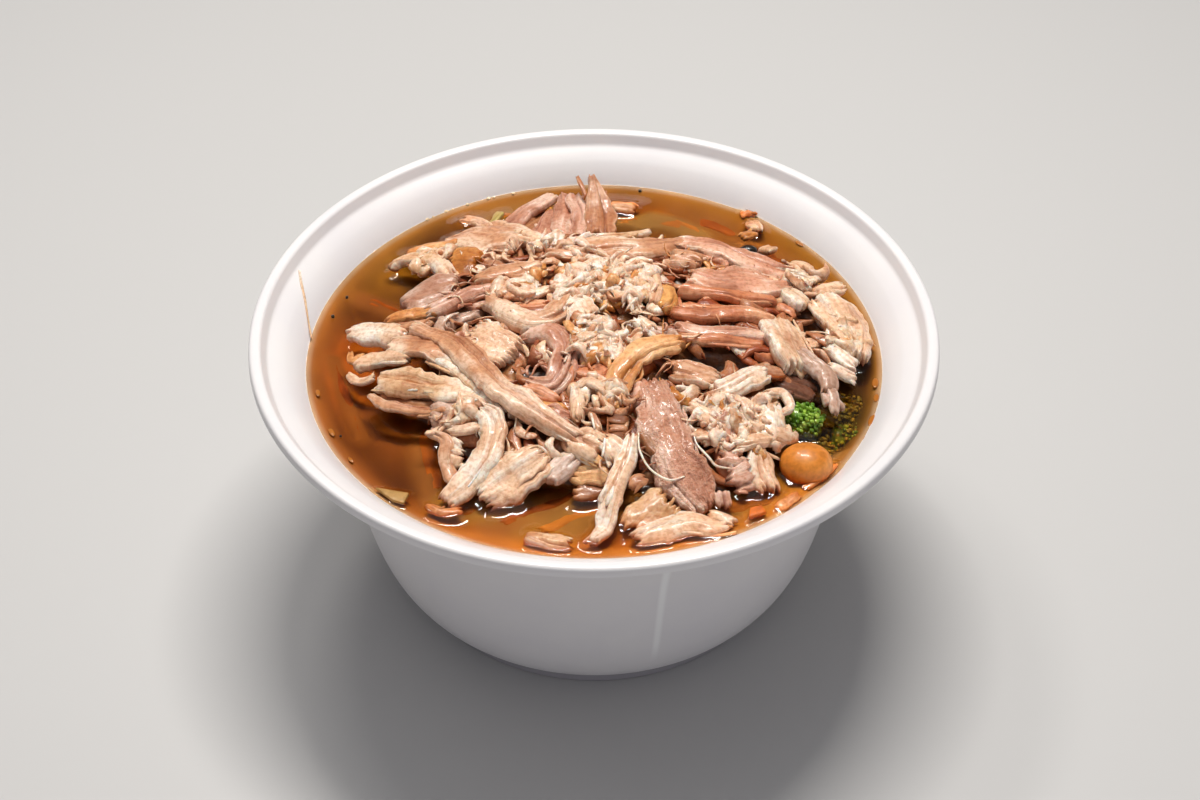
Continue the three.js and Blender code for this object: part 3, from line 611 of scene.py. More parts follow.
def torn_strip(pile, width, thickness, tone, line, seed, fray=2.6, clefts=2, curl=0.13, ridge=0.08,
               lump=0.45, grit=0.09, twist=0.3, cell=0.5, wet=0.4, box=0.62, taper=0.66):
    """One strip of torn meat along a line of (stations, centre line, upward directions).

    Station s runs along the path and q = cos(angle) across the strip.
    Ends: s goes from start(q) to end(q), and both wander by up to the fray length.
    Width: half width * (1 + noise), its own for each edge, drawn in to the taper at the ends; a taper
    below a half draws the last end in all along the strip, to a point.
    Height: half thickness * |sin| ** box, closed to nothing over the last millimetre, thinned by clefts,
    plus ridge * noise stretched along the fibres, plus curl * width * q^2, its own for each edge.
    All of it then swells by lump * noise 7 mm across, and by grit * noise 1 mm across.
    """
    random = np.random.default_rng(seed)
    stations, curve, upwards = line
    length = stations[-1]
    tangent = unit(np.gradient(curve, axis=0))
    sideways = unit(np.cross(tangent, upwards))
    upwards = unit(np.cross(sideways, tangent))

    columns = 2 * int(np.clip(round((width + thickness) / cell), 4, 34))
    rows = int(np.clip(round(length / (1.4 * cell)), 6, 120))
    angle = np.arange(columns) * 2 * np.pi / columns
    across = np.cos(angle)[None, :]
    side = np.sin(angle)[None, :]
    fray = min(fray, 0.3 * length, 0.5 * width)
    ends = [fray * (0.5 + 0.5 * noise_along(across * width / 1.4, 0.0, 0.8, 1.0, seed + 11 + k))
            for k in range(2)]
    t = np.linspace(0, 1, rows)[:, None]
    t = 0.7 * t + 0.3 * (0.5 - 0.5 * np.cos(np.pi * t))
    along = ends[0] + (length - ends[0] - ends[1]) * t

    edge = np.sign(across) * 3.0
    half = width / 2 * (1 + 0.2 * noise_along(along, edge, 8.0, 1.0, seed + 20)
                        + 0.11 * noise_along(along, edge, 1.8, 1.0, seed + 22))
    near_end = np.minimum(along, length - along) if taper > 0.5 else 0.45 * (length - along)
    half = half * (taper + (1 - taper) * smooth(near_end, 0, 0.3 * length))
    round_off = min(1.0, thickness / 2, length / 5)
    from_tip = np.minimum(along - ends[0], length - ends[1] - along)
    closing = np.sqrt(np.clip(1 - (1 - np.clip(from_tip / round_off, 0, 1)) ** 2, 0, 1))
    deep = thickness / 2 * (1 + 0.22 * noise_along(along, across * width, 9.0, 4.0, seed + 21))
    opening = np.zeros(np.broadcast(along, across).shape)
    for k in range(clefts):
        centre = random.uniform(-0.8, 0.8) + 0.12 * noise_along(along, 0.0, 12.0, 1.0, seed + 30 + k)
        reach = length * random.uniform(0.3, 0.9)
        from_end = along if random.random() < 0.5 else length - along
        spread = random.uniform(0.2, 0.34) / (width / 2)
        opening += np.exp(-((across - centre) / spread) ** 2) * smooth(reach - from_end, 0, 0.3 * length)
    opening = np.clip(opening, 0, 1)

    where = across * width / 2 + side * thickness * 1.7
    fibres = noise_along(along, where, 22.0, 0.8, seed + 40)
    fibres = fibres + 0.5 * noise_along(along, where, 12.0, 0.45, seed + 41)
    bundles = noise_along(along, where, 26.0, 2.8, seed + 42)
    split = smooth(noise_along(along, where, 9.0, 3.5, seed + 43), -0.1, 0.5)
    groove = split * smooth(0.12 - np.abs(bundles), 0, 0.12)
    relief = ridge * (fibres + 2.0 * np.abs(bundles)) - 0.5 * ridge - 0.2 * groove - 0.6 * deep * opening
    height = deep * closing * np.sign(side) * np.abs(side) ** box
    height = height + relief * closing * np.sign(side) * np.abs(side) ** 0.5
    lateral = across * half + 0.5 * relief * closing * across
    lean = noise_along(along, 4.0 * np.sign(across), 13.0, 1.0, seed + 50)
    height = height + curl * width * across ** 2 * (lean - 0.2)

    turn = twist * noise_along(along, 0.0, 14.0, 1.0, seed + 60)
    lateral, height = (lateral * np.cos(turn) - height * np.sin(turn),
                       lateral * np.sin(turn) + height * np.cos(turn))

    def carried(values):
        return np.stack([np.interp(along, stations, values[:, i]) for i in range(3)], -1)

    corners = carried(curve) + lateral[..., None] * carried(sideways) + height[..., None] * carried(upwards)
    swell = np.stack([lump * (noise(corners, 7.0, seed + 70 + k) + 0.34 * noise(corners, 2.6, seed + 73 + k))
                      + grit * noise(corners, 1.1, seed + 76 + k) for k in range(3)], -1)
    corners = corners + min(1.0, width / 4) * swell
    patch = noise(corners, 9.0, seed + 80) + 0.4 * noise(corners, 3.0, seed + 81)
    # Painted highlight: lighter along the strip's upper edges, and on ridge tops by the bundles; the rest of
    # the lightness varies at random.
    painted_edge_highlight = smooth(np.abs(across), 0.72, 0.95) * smooth(side, -0.3, 0.2)
    lightness = 0.56 + 0.16 * fibres + 0.5 * patch + 0.3 * (np.abs(bundles) - 0.3) + 0.25 * painted_edge_highlight
    lightness = np.clip(lightness, 0, 1)
    # Painted shade in clefts, grooves and the underside, where broth darkens the meat too.
    hollow = np.clip(0.9 * opening + 0.4 * groove + 0.7 * smooth(-side, 0.1, 0.9), 0, 1)
    tint, soaked = meat_tint(tone_colours([tone])[0], lightness, hollow, corners[..., 2])
    wetness = np.clip(wet + 0.3 * patch + 0.5 * soaked, 0, 1)
    grain = np.stack([along + 0 * across, where + 0 * along + seed % 97], -1)

    flat = corners.reshape(-1, 3)
    stands = folded_ends(rows, columns)
    mirror = (-np.arange(columns)) % columns
    flat[:columns] = (flat[:columns] + flat[mirror]) / 2
    last = flat[-columns:]
    flat[-columns:] = (last + last[mirror]) / 2
    pile.add(flat, stands[tube_quads(rows, columns)[:, ::-1]], tint.reshape(-1, 3),
             grain.reshape(-1, 2), wetness.ravel())


STRAND_WIDTHS = (0.7, 1.5)    # mm


def peeling_strands(pile, count, width, tone, line, seed):
    """Thin strands over a strip: each follows part of its line, to one side, and lifts at one end."""
    random = np.random.default_rng(seed)
    stations, curve, upwards = line
    sideways = unit(np.cross(unit(np.gradient(curve, axis=0)), upwards))
    for k in range(count):
        strand = random.uniform(*STRAND_WIDTHS)
        first = random.uniform(-0.1, 0.65) * stations[-1]
        last = min(first + random.uniform(0.3, 0.8) * stations[-1], 1.08 * stations[-1])
        inside = (stations >= first) & (stations <= last)
        if inside.sum() < 6:
            continue
        part = np.linspace(0, 1, inside.sum())[:, None]
        aside = random.uniform(-0.5, 0.5) * width + random.normal(0, 1.2) * part ** 2
        raised = random.uniform(-0.1, 0.4) + 0.9 * random.random() * part ** 3
        strand_line = curve[inside] + aside * sideways[inside] + raised * upwards[inside]
        own_line = (stations[inside] - stations[inside][0], strand_line, upwards[inside])
        torn_strip(pile, strand, 0.7 * strand, tone, own_line, seed + 7 * k + 1, fray=0.6, clefts=0,
                   ridge=0.06, cell=0.4)


def small_shreds(pile, centres, yaw, length, width, thickness, tones, seed, rows=10, columns=8,
                 bend=0.35, roll=0.6, arch=0.15, rough=0.3, wet=0.4, shade="#ffffff"):
    """Many short shreds at once, each with its own centre, direction and size.

    Along t from 0 to 1 the middle bends by bend * length * ((2t - 1)^2 - 0.4), and rises by arch in the
    same way. The section is half width by half thickness, narrower at both ends, and turned by a roll.
    The shade colour is multiplied into the tint as painted shade, for shreds that lie in the depth of the
    heap.
    """
    random = np.random.default_rng(seed)
    count = len(centres)

    def each(values):
        return np.broadcast_to(values, count)[:, None, None]

    t = (0.5 - 0.5 * np.cos(np.pi * np.linspace(0, 1, rows)))[None, :, None]
    angle = (np.arange(columns) * 2 * np.pi / columns)[None, None, :]
    span = 2 * t - 1
    closing = np.sqrt(np.clip(1 - span ** 8, 0, 1))
    swelling = 0.4 + 0.6 * np.sqrt(np.clip(1 - np.abs(span) ** 2.5, 0, 1))
    across = np.cos(angle) * each(width) / 2 * swelling
    height = np.sin(angle) * each(thickness) / 2 * closing
    turn = each(random.normal(0, roll, count)) + each(random.normal(0, 0.7 * roll, count)) * span
    lateral = across * np.cos(turn) - height * np.sin(turn)
    height = across * np.sin(turn) + height * np.cos(turn)
    lateral = lateral + each(random.normal(0, bend, count)) * each(length) * (span ** 2 - 0.4)
    height = height + each(random.normal(0, arch, count)) * each(length) * (0.4 - span ** 2)
    forward = each(length) / 2 * span + 0 * lateral
    x = each(centres[:, 0]) + forward * np.cos(each(yaw)) - lateral * np.sin(each(yaw))
    y = each(centres[:, 1]) + forward * np.sin(each(yaw)) + lateral * np.cos(each(yaw))
    slope = mound_height(x, y) - mound_height(each(centres[:, 0]), each(centres[:, 1]))
    corners = np.stack([x, y, each(centres[:, 2]) + slope + height], -1)
    swell = np.stack([noise(corners, 1.9, seed + k) + 0.6 * noise(corners, 0.8, seed + 5 + k)
                      for k in range(3)], -1)
    corners = corners + rough * np.minimum(each(width), 2.0)[..., None] * swell
    lightness = 0.55 + 0.45 * noise(corners, 2.2, seed + 9) + 0.3 * noise(corners, 0.8, seed + 10)
    # Painted shade: darker on the lower half of each section.
    hollow = 0.5 * smooth(-np.sin(angle) + 0 * lightness, 0, 0.9)
    tones = np.moveaxis(tones, 1, 0)[:, :, None, None, :]
    tint, soaked = meat_tint(tones, lightness, hollow, corners[..., 2])
    tint = tint * linear(shade)
    grain = np.stack([forward, lateral + 13.0 * each(np.arange(count) % 31)], -1)
    stands = folded_ends(rows, columns, count)
    quads = tube_quads(rows, columns) + rows * columns * np.arange(count)[:, None, None]
    ends = corners[:, [0, -1]]
    corners[:, [0, -1]] = (ends + ends[:, :, (-np.arange(columns)) % columns]) / 2
    pile.add(corners.reshape(-1, 3), stands[quads.reshape(-1, 4)], tint.reshape(-1, 3),
             grain.reshape(-1, 2), np.clip(wet + 0.5 * soaked, 0, 1).ravel())


# %% [markdown]
# ### The strips that show
#
# The larger strips lie where they do on the real heap. Each row gives the width, the thickness, the
# kind of meat, and the points it runs through: across, away from the front, and how far its top
# stands above the mound. A few rows end with settings of their own for the strip.

# %% Strips, group by group, the same layout as the solid's
BACK_LEFT = [
    (17, 5, "tan", [(-43, 50, 0), (-31, 45, 0), (-19, 38, 0.5)]),
    (5, 3, "cream", [(-24, 43, 1.5), (-18, 38, 1.5), (-15, 31, 0.5)]),
    (4, 2.5, "cream", [(-40, 61, 0), (-35, 58, 0.4), (-30, 50, 0.8)]),
    (4.5, 3.5, "pale", [(-59, 35, 0.5), (-54, 37, 1), (-43, 36, 0.5)]),
    (4.5, 3, "golden", [(-55, 42, 0), (-49, 43, 0.5), (-38, 43, 0.8)]),
    (6, 3, "cream", [(-48, 36, 1), (-44, 29, 1), (-40, 22, 0)]),
    (12, 3, "amber", [(-42, 32, -0.5), (-37, 31, 0), (-31, 29, -0.5)]),
    (13, 4, "mauve", [(-54, 13, 0), (-46, 17, 0.5), (-37, 18, 0)]),
    (5, 4, "pink", [(-47, 6, 0), (-36, 11, 0.5), (-24, 15, 0)]),
    (6, 4, "tan", [(-34, 17, 1), (-25, 19, 1.5), (-14, 22, 1)]),
    (4, 3, "golden", [(-58, 6, -0.5), (-50, 7, 0), (-42, 6, 0)]),
]
LEFT_FINGERS = [
    (6.5, 3.5, "cream", [(-68, 5, 0.5), (-60, 2, 1), (-50, -3, 1)]),
    (9, 4, "tan", [(-56, -3, 0.5), (-47, -7, 1), (-38, -13, 1), (-30, -20, 1)]),
    (6, 3.5, "cream", [(-65, -10, 0), (-57, -9, 0.5), (-48, -12, 0.5)]),
    (8, 3, "pale", [(-58, -17, 0.5), (-49, -21, 1), (-40, -25, 1), (-29, -29, 0.3)]),
    (3, 2.5, "tan", [(-60, -21, 0), (-54, -27, 0), (-44, -31, 0), (-37, -32, 0.3)]),
    (7.5, 4, "tan", [(-50, 0, 1), (-41, -7, 2), (-33, -17, 2.5), (-25, -28, 3), (-17, -35, 3), (-9, -42, 2.5),
                     (-3, -46, 1.5)]),
    (4.5, 3, "pale", [(-44, -13, 1), (-35, -20, 1), (-29, -28, 1), (-23, -36, 0.5)]),
]
FRONT_LEFT = [
    (11, 5, "grey", [(-43, -31, -0.5), (-39, -33, 0), (-34, -37, -0.5)]),
    (8, 3.5, "cream", [(-30, -33, 1), (-26, -39, 1.5), (-27, -48, 1.5), (-32, -55, 1), (-38, -60, 0)]),
    (3.5, 2.5, "tan", [(-42, -38, 0), (-38, -42, 0.5), (-38, -48, 0.3), (-34, -56, 0.6)]),
    (13, 6, "cream", [(-29, -58, 0), (-20, -53, 1), (-11, -47, 0.5)]),
    (6, 4, "grey", [(-13, -55.5, -0.3), (-8, -52, -0.3), (-3, -47, -0.5)]),
]
MIDDLE_LEFT = [
    (7, 4, "tan", [(-30, 9, 0.5), (-24, 2, 1), (-16, -3, 1), (-10, -1, 1), (-7, 6, 0.5), (-6, 13, 0)]),
    (3.5, 2.5, "cream", [(-30, 12, 0.5), (-20, 9, 0.5), (-11, 11, 0.5)]),
    (13, 5, "cream", [(-33, -4, 0), (-27, -9, 0.5), (-20, -15, 0)]),
    (7, 4, "pink", [(-20, -7, 0.5), (-12, -7, 1), (-8, -13, 1), (-8, -20, 1), (-11, -27, 0.5),
                    (-18, -25, 0)]),
    (8, 4, "pink", [(-13, -36, -0.5), (-5, -38, -0.5)]),
    (4.5, 3.5, "cream", [(-5, -27, 1), (-4, -33, 1), (-4, -40, 0.5)]),
]
MIDDLE = [
    (7, 3.5, "golden", [(-11, 17, 0), (-7, 19, 0.5), (-2, 21, 0)]),
    (7, 5, "pale", [(-3, 13, 0.5), (3, 12, 1), (8, 12, 0.5)]),
    (4.5, 3, "pale", [(12, 23, 1), (13, 14, 1), (14, 5, 1)]),
    (8, 4, "cream", [(-6, 8, 0), (-4, 2, 0.5), (-2, -3, 0)]),
    (8, 5, "cream", [(-4, -14, 1), (2, -15, 1.5), (6, -13, 0.5)]),
    (6, 3.5, "amber", [(18, 13, 0.5), (20, 7, 0.5), (17, 2, 0)]),
]
BACK = [
    (9, 3, "spike", [(2, 38, 0), (1, 50, 5), (-1.5, 62, 13)], {"taper": 0.14, "twist": 0.1}),
    (6.5, 3, "pink", [(-10, 36, 0), (-9, 50, 3), (-9, 63, 6.2)]),
    (5.5, 3, "pink", [(-4, 37, 0), (-5, 50, 4), (-6, 61, 7)]),
    (8.5, 3.5, "pink", [(-27, 50, 0), (-20, 58, 2.2), (-12, 65, 5.6)]),
    (5.5, 3, "pink", [(-17, 36, 0), (-14, 46, 1.5), (-12, 56, 3.5)]),
    (10, 4, "tan", [(-14, 30, 0.5), (0, 31, 1), (14, 33, 1), (27, 38, 0.5)]),
]
BACK_RIGHT = [
    (9, 4, "rose", [(22, 37, 0.5), (32, 34, 1), (42, 29, 1), (52, 26, 0.5), (58, 28, 0)]),
    (3.5, 2.5, "cream", [(53, 25, 0.5), (64, 27, 0)]),
    (11, 4, "rose", [(26, 18, 0.5), (35, 15, 1), (45, 17, 1), (55, 20, 0.5)]),
    (7, 4, "pale", [(49, 17, 1), (55, 13, 1), (58, 9, 0.5)]),
    (5, 3.5, "red", [(23, 12, 0.5), (36, 10, 1), (50, 9, 0.5)]),
    (5, 3.5, "red", [(20, 1, 0.5), (28, 0, 1), (38, 2, 1), (50, 1, 0.5)]),
    (4.5, 3, "pink", [(21, -4, 0), (30, -7, 0.5), (40, -6, 0.5), (48, -6, 0)]),
]
RIGHT = [
    (12, 5, "cream", [(49, 4, 0), (51, -7, 1), (54, -17, 0.5)]),
    (5, 3, "cream", [(61, 18, 0.5), (67, 23, 1), (71, 26, 1)]),
    (11, 5, "cream", [(65, 19, 1), (69, 9, 1.5), (71, -1, 1), (71, -9, 0.5)]),
    (5, 3, "cream", [(60, 13, 1), (65, 4, 1.5), (67, -6, 1)]),
    (6, 3, "cream", [(62, -4, 0.5), (71, -12, 0.5)]),
    (5.5, 3, "grey", [(53, -9, 1), (61, -17, 1.5), (61, -25, 1)]),
    (3, 2.5, "grey", [(61, -23, 1), (61.5, -29, 0.5)]),
    (3, 2.5, "grey", [(61.5, -23, 1), (65, -28.5, 0.5)]),
]
FRONT_RIGHT = [
    (8, 3.5, "golden", [(24, -12, 1.5), (14, -16, 2), (8, -22, 2), (5, -29, 1.5), (4, -36, 0.5)]),
    (13, 5, "grainy", [(15, -25, 0), (17, -36, 0.5), (20, -47, 0.5), (25, -58, 0), (28, -63, 0)]),
    (5, 3.5, "cream", [(10, -43, 1), (7, -53, 1.5), (4, -62, 1), (2, -69, 0.8), (-1.5, -74, 0.7)]),
    (8, 4, "tan", [(20, -20, 0), (27, -23, 0.5), (33, -25, 0)]),
    (7, 4, "cream", [(28, -30, 1), (36, -27, 1.5), (46, -20, 1)]),
    (4, 2.5, "cream", [(24, -33, 0.5), (30, -37, 1), (34, -41, 0.5)]),
    (5, 3, "pink", [(32, -35, 1), (33, -40, 1), (33, -46, 0.5)]),
    (4.5, 3, "cream", [(35, -45, 1), (40, -44, 1.5), (46, -42, 1)]),
    (6.5, 3.5, "cream", [(45, -30, 1), (46.5, -37, 1.5), (45, -44, 0.5)]),
    (8, 4, "cream", [(41, -44, 0.5), (43.5, -50.5, 0.5), (45, -56, 0)]),
    (6, 3.5, "pink", [(31, -47, 0), (39, -48, 0.5)]),
    (8, 4, "pink", [(33, -54, 0), (41, -50.5, 0.5)]),
    (12, 3, "soaked", [(9, -70, -0.5), (14, -65, -0.2), (20, -59, -0.3)],
     {"lump": 0.25, "curl": 0.03, "ridge": 0.05, "clefts": 0, "taper": 0.85, "wet": 0.7}),
    (6.5, 3, "cream", [(9, -73, 0.3), (14, -70.5, 0.8), (22, -67.5, 1), (29, -67.5, 0.5), (34, -65.5, 0.2)]),
]
GROUPS = {
    "shreds_back_left": BACK_LEFT, "shreds_left": LEFT_FINGERS, "shreds_front_left": FRONT_LEFT,
    "shreds_middle": MIDDLE_LEFT + MIDDLE, "shreds_back": BACK, "shreds_back_right": BACK_RIGHT,
    "shreds_right": RIGHT, "shreds_front_right": FRONT_RIGHT,
}
print("strips that are also in the solid:", sum(len(rows) for rows in GROUPS.values()))


# %% [markdown]
# Cooked meat scatters light a little way in, is creamy where fibres are dry, and shines where it is wet. The
# colour comes from the strip's own tint, which carries painted shade in the hollows and undersides, darkened
# by broth there as well, and a painted highlight on ridge tops and upper edges; a fine noise stretched along
# the fibres breaks it up. The fibres are 0.3 mm wide on real chicken; they are drawn 0.5 mm wide so that they
# show.

# %% Cooked chicken
def cooked_chicken(name, grain_size, graininess, relief):
    """Boiled chicken: tint from the strip, fibre streaks and bump along it, wet sheen over it. The grains
    have a size and a relief in millimetres, and graininess is their share in the relief."""
    material, tree, output = new_material(name)
    tint = add_node(tree, "ShaderNodeAttribute", attribute_name="tint").outputs["Color"]
    wet = add_node(tree, "ShaderNodeAttribute", attribute_name="wet").outputs["Fac"]
    grain = add_node(tree, "ShaderNodeUVMap", uv_map="grain").outputs["UV"]
    streaks = add_node(tree, "ShaderNodeMapping", {"Vector": grain, "Scale": (0.1, 1.9, 1.0)})
    fibre = add_node(tree, "ShaderNodeTexNoise", {
        "Vector": streaks.outputs["Vector"], "Scale": 1.0, "Detail": 3.0, "Roughness": 0.6})
    place = add_node(tree, "ShaderNodeTexCoord").outputs["Object"]
    speckle = add_node(tree, "ShaderNodeTexNoise", {
        "Vector": place, "Scale": 1 / (grain_size * MM), "Detail": 3.0})
    shade = ramp(tree, fibre.outputs["Fac"], (0.3, "#d6c4b6"), (0.55, "#ffffff"))
    colour = mixed_colour(tree, 0.6, tint, shade, "MULTIPLY")
    blotch = ramp(tree, speckle.outputs["Fac"], (0.35, "#d4b498"), (0.55, "#ffffff"))
    colour = mixed_colour(tree, 0.6, colour, blotch, "MULTIPLY")
    height = add_node(tree, "ShaderNodeMath", {
        0: speckle.outputs["Fac"], 1: graininess, 2: fibre.outputs["Fac"]}, operation="MULTIPLY_ADD")
    bump = add_node(tree, "ShaderNodeBump", {
        "Height": height.outputs["Value"], "Strength": 0.6, "Distance": relief * MM})
    rough = add_node(tree, "ShaderNodeMapRange", {"Value": wet, "To Min": 0.5, "To Max": 0.22})
    shader = add_node(tree, "ShaderNodeBsdfPrincipled", {
        "Base Color": colour, "Roughness": rough.outputs["Result"], "IOR": 1.38,
        "Subsurface Weight": 0.3, "Subsurface Radius": (1.0, 0.45, 0.25), "Subsurface Scale": 1.0 * MM,
        "Coat Weight": 0.3, "Coat Roughness": 0.12, "Normal": bump.outputs["Normal"]})
    tree.links.new(shader.outputs["BSDF"], output.inputs["Surface"])
    return material


chicken = cooked_chicken("cooked_chicken", 1.1, 0.8, 0.3)


def pile_piece(name, pile, *nodes, material=None, slot="chicken"):
    """One mesh of everything in a pile, its doubled seam corners left out."""
    corners, quads, tint, grain, wet = pile.arrays()
    used, quads = np.unique(quads, return_inverse=True)
    quads = quads.reshape(-1, 4)
    piece = add_mesh(name, corners[used], quads, {"tint": tint[used], "wet": wet[used], "grain": grain[used]})
    finish_piece(piece, material or chicken, slot, *nodes)
    return piece


# %% [markdown]
# Every strip of a group goes into one mesh. Two things are noted on the way for later steps: where meat
# comes out of the broth, and which way each strip runs.

# %% Build the strips
waterline = []             # corners near the broth's level, for the curved edge of the broth
strip_lines = []           # place, direction and kind of meat all along each strip


def note_waterline(pile):
    """Keeps the places in plan where a pile's surface comes out of the broth."""
    corners = pile.arrays()[0]
    above = corners[:, 2] - BROTH_LEVEL
    waterline.append(corners[(above > -0.1) & (above < 0.6)][:, :2])


def dressed_strip(pile, width, thickness, tone, points, seed, strands=None, **style):
    """A strip with its peeling strands, noted for the smaller meat that follows it."""
    line = strip_path(points, thickness, 0.45, seed)
    if width >= 11:
        style = {"clefts": 1, "ridge": 0.08, "lump": 0.6, "box": 0.5, "curl": 0.07, **style}
    if tone == "grainy":
        style = {"grit": 0.3, "lump": 0.35, "wet": 0.45, **style}
    torn_strip(pile, width, thickness, tone, line, seed, **{"clefts": 1 if width < 7 else 2, **style})
    count = int(1 + line[0][-1] * min(width, 6) / 110) if strands is None else strands
    peeling_strands(pile, count, width, tone, line, seed + 5)
    step = line[1][::6]
    heading = np.arctan2(*np.gradient(step[:, :2], axis=0).T[::-1])
    strip_lines.append(np.c_[step[:, :2], heading, np.full(len(step), list(TONES).index(tone))])


seed = 100
grainy_pile = MeatPile()
for group_name, rows in GROUPS.items():
    pile = MeatPile()
    for width, thickness, tone, points, *style in rows:
        seed += 100
        dressed_strip(grainy_pile if tone == "grainy" else pile, width, thickness, tone, points, seed,
                      **(style[0] if style else {}))
    note_waterline(pile)
    pile_piece(group_name, pile, *(["chicken_heap"] if group_name == "shreds_middle" else []))
note_waterline(grainy_pile)
pile_piece("grainy_slab", grainy_pile, material=cooked_chicken("grainy_thigh_meat", 0.8, 2.0, 0.6))

# %% [markdown]
# A few torn bits have come away from the heap and lie in the broth by the wall. They are strips like
# the rest, but wetter and less frayed, and each is a piece of its own, as its solid is.

# %% Loose strips and flakes in the broth
LOOSE = {
    "front_shred": (4.5, 3, "pale", [(-17, -71, 0.3), (-11, -72.6, 0.4), (-5, -73.4, 0.3)]),
    "wall_shred": (3.2, 2.4, "golden", [(52, -55.8, 0), (49, -58.6, 0.2), (45.5, -61.2, 0)]),
    "back_flake": (6, 2.6, "pale", [(4, 67, -0.6), (8, 67.5, -0.4), (13, 66, -0.6)]),
    "edge_flake": (4.5, 2.4, "pale", [(47, 59.5, 0.4), (48, 53, 0.6)]),
}
for node_name, (width, thickness, tone, points) in LOOSE.items():
    seed += 100
    pile = MeatPile()
    dressed_strip(pile, width, thickness, tone, points, seed, strands=1, fray=1.2, wet=0.8)
    note_waterline(pile)
    pile_piece("loose_" + node_name, pile, node_name)

# %% [markdown]
# ## The hidden core
#
# Below the strips the heap is a packed mass. Only its hollows show, dark and wet, so one lumpy sheet is
# enough: the mound lowered by a few millimetres, roughened, and turned down into the broth. Its dark colour
# is partly painted shade, darkest in its dents.

# %% The core
CORE_REACH = [62, 60, 48, 42, 40, 42, 50, 56, 52, 50, 47, 56, 56, 54, 54, 60, 53, 52]
CORE_SINK = 4.2            # mm under the mound, a little more than the solid's
CORE_BOTTOM = 50           # mm up: how deep it reaches into the broth


def core_reach(turn):
    """The core's outline at a share of a full turn, blended by half cosines between its reaches."""
    spot = (turn % 1) * len(CORE_REACH)
    first = np.floor(spot).astype(int)
    blend = (1 - np.cos(np.pi * (spot - first))) / 2
    table = np.array(CORE_REACH, float)
    return table[first % len(table)] * (1 - blend) + table[(first + 1) % len(table)] * blend


HOLLOWS = [                # dark places between the strips: middle x, y, half width, half depth
    (-33, 4, 6, 4), (33, -14, 9, 3.5), (-24, -40, 4, 3), (54, -22, 7, 4), (-12, -31, 4, 3), (9, -52, 3, 6),
    (0, -2, 4, 2.5), (34, 8, 9, 1.5), (-15, 2, 6, 2), (-50, 30, 4, 3), (23, -4, 3, 3), (-3, -18, 3, 4),
    (29, -48, 3, 4), (58, 6, 3, 4),
]


def in_hollow(x, y, grow=1.0):
    """How far inside the nearest hollow each place is: 1 in its middle and 0 outside."""
    inside = [1 - np.hypot((x - hx) / (grow * half_x), (y - hy) / (grow * half_y))
              for hx, hy, half_x, half_y in HOLLOWS]
    return np.clip(np.max(inside, axis=0), 0, 1)


def core_arrays(rows=110, columns=300):
    """Rings from the middle out: mound height less the sink, then down from the edge to the bottom."""
    turn = np.linspace(0, 1, columns, endpoint=False)[None, :]
    t = np.linspace(0.01, 1.25, rows)[:, None]
    out = core_reach(turn) * np.minimum(t, 1) * (1 - 0.2 * np.maximum(t - 1.0, 0))
    x = HEAP_CENTRE_X + out * np.cos(2 * np.pi * turn)
    y = out * np.sin(2 * np.pi * turn)
    z = mound_height(x, y) - CORE_SINK - 100 * np.maximum(t - 0.94, 0) ** 1.3
    z = z - 3.5 * smooth(in_hollow(x, y, 1.2), 0, 0.6)
    points = np.stack([x, y, np.maximum(z, CORE_BOTTOM)], -1)
    rough = 1.3 * noise(points, 4.5, 5) + 0.8 * noise(points, 2.0, 6) + 0.4 * noise(points, 1.0, 7)
    points = points + rough[..., None] * np.array([0.4, 0.4, 1.0])
    poles = np.array([points[0].mean(0), [HEAP_CENTRE_X, 0, CORE_BOTTOM]])
    return np.concatenate([points.reshape(-1, 3), poles]), np.r_[rough.ravel(), 0, 0], rows, columns


core_points, core_rough, core_rows, core_columns = core_arrays()
# Painted shade: the core is darkest in its dents and lighter on its bumps, wet brown underneath.
core_painted_light = smooth(core_rough, -1.6, 1.9)[:, None]
core_tint = linear("#4a2815") + (linear("#a8744c") - linear("#4a2815")) * core_painted_light
core_pile = MeatPile()
core_pile.add(core_points, closed_quads(core_rows, core_columns)[:, ::-1],
              core_tint, core_points[:, :2], np.full(len(core_rough), 0.8))
note_waterline(core_pile)
pile_piece("heap_core", core_pile)

# %% [markdown]
# ## Smaller meat
#
# Smaller strips lie between the large ones, each in its own place, and hundreds of small shreds fill
# what is left. Every one of those takes its direction and its kind of meat from the nearest strip,
# with some chance in both, so that the heap looks torn and not sprinkled.

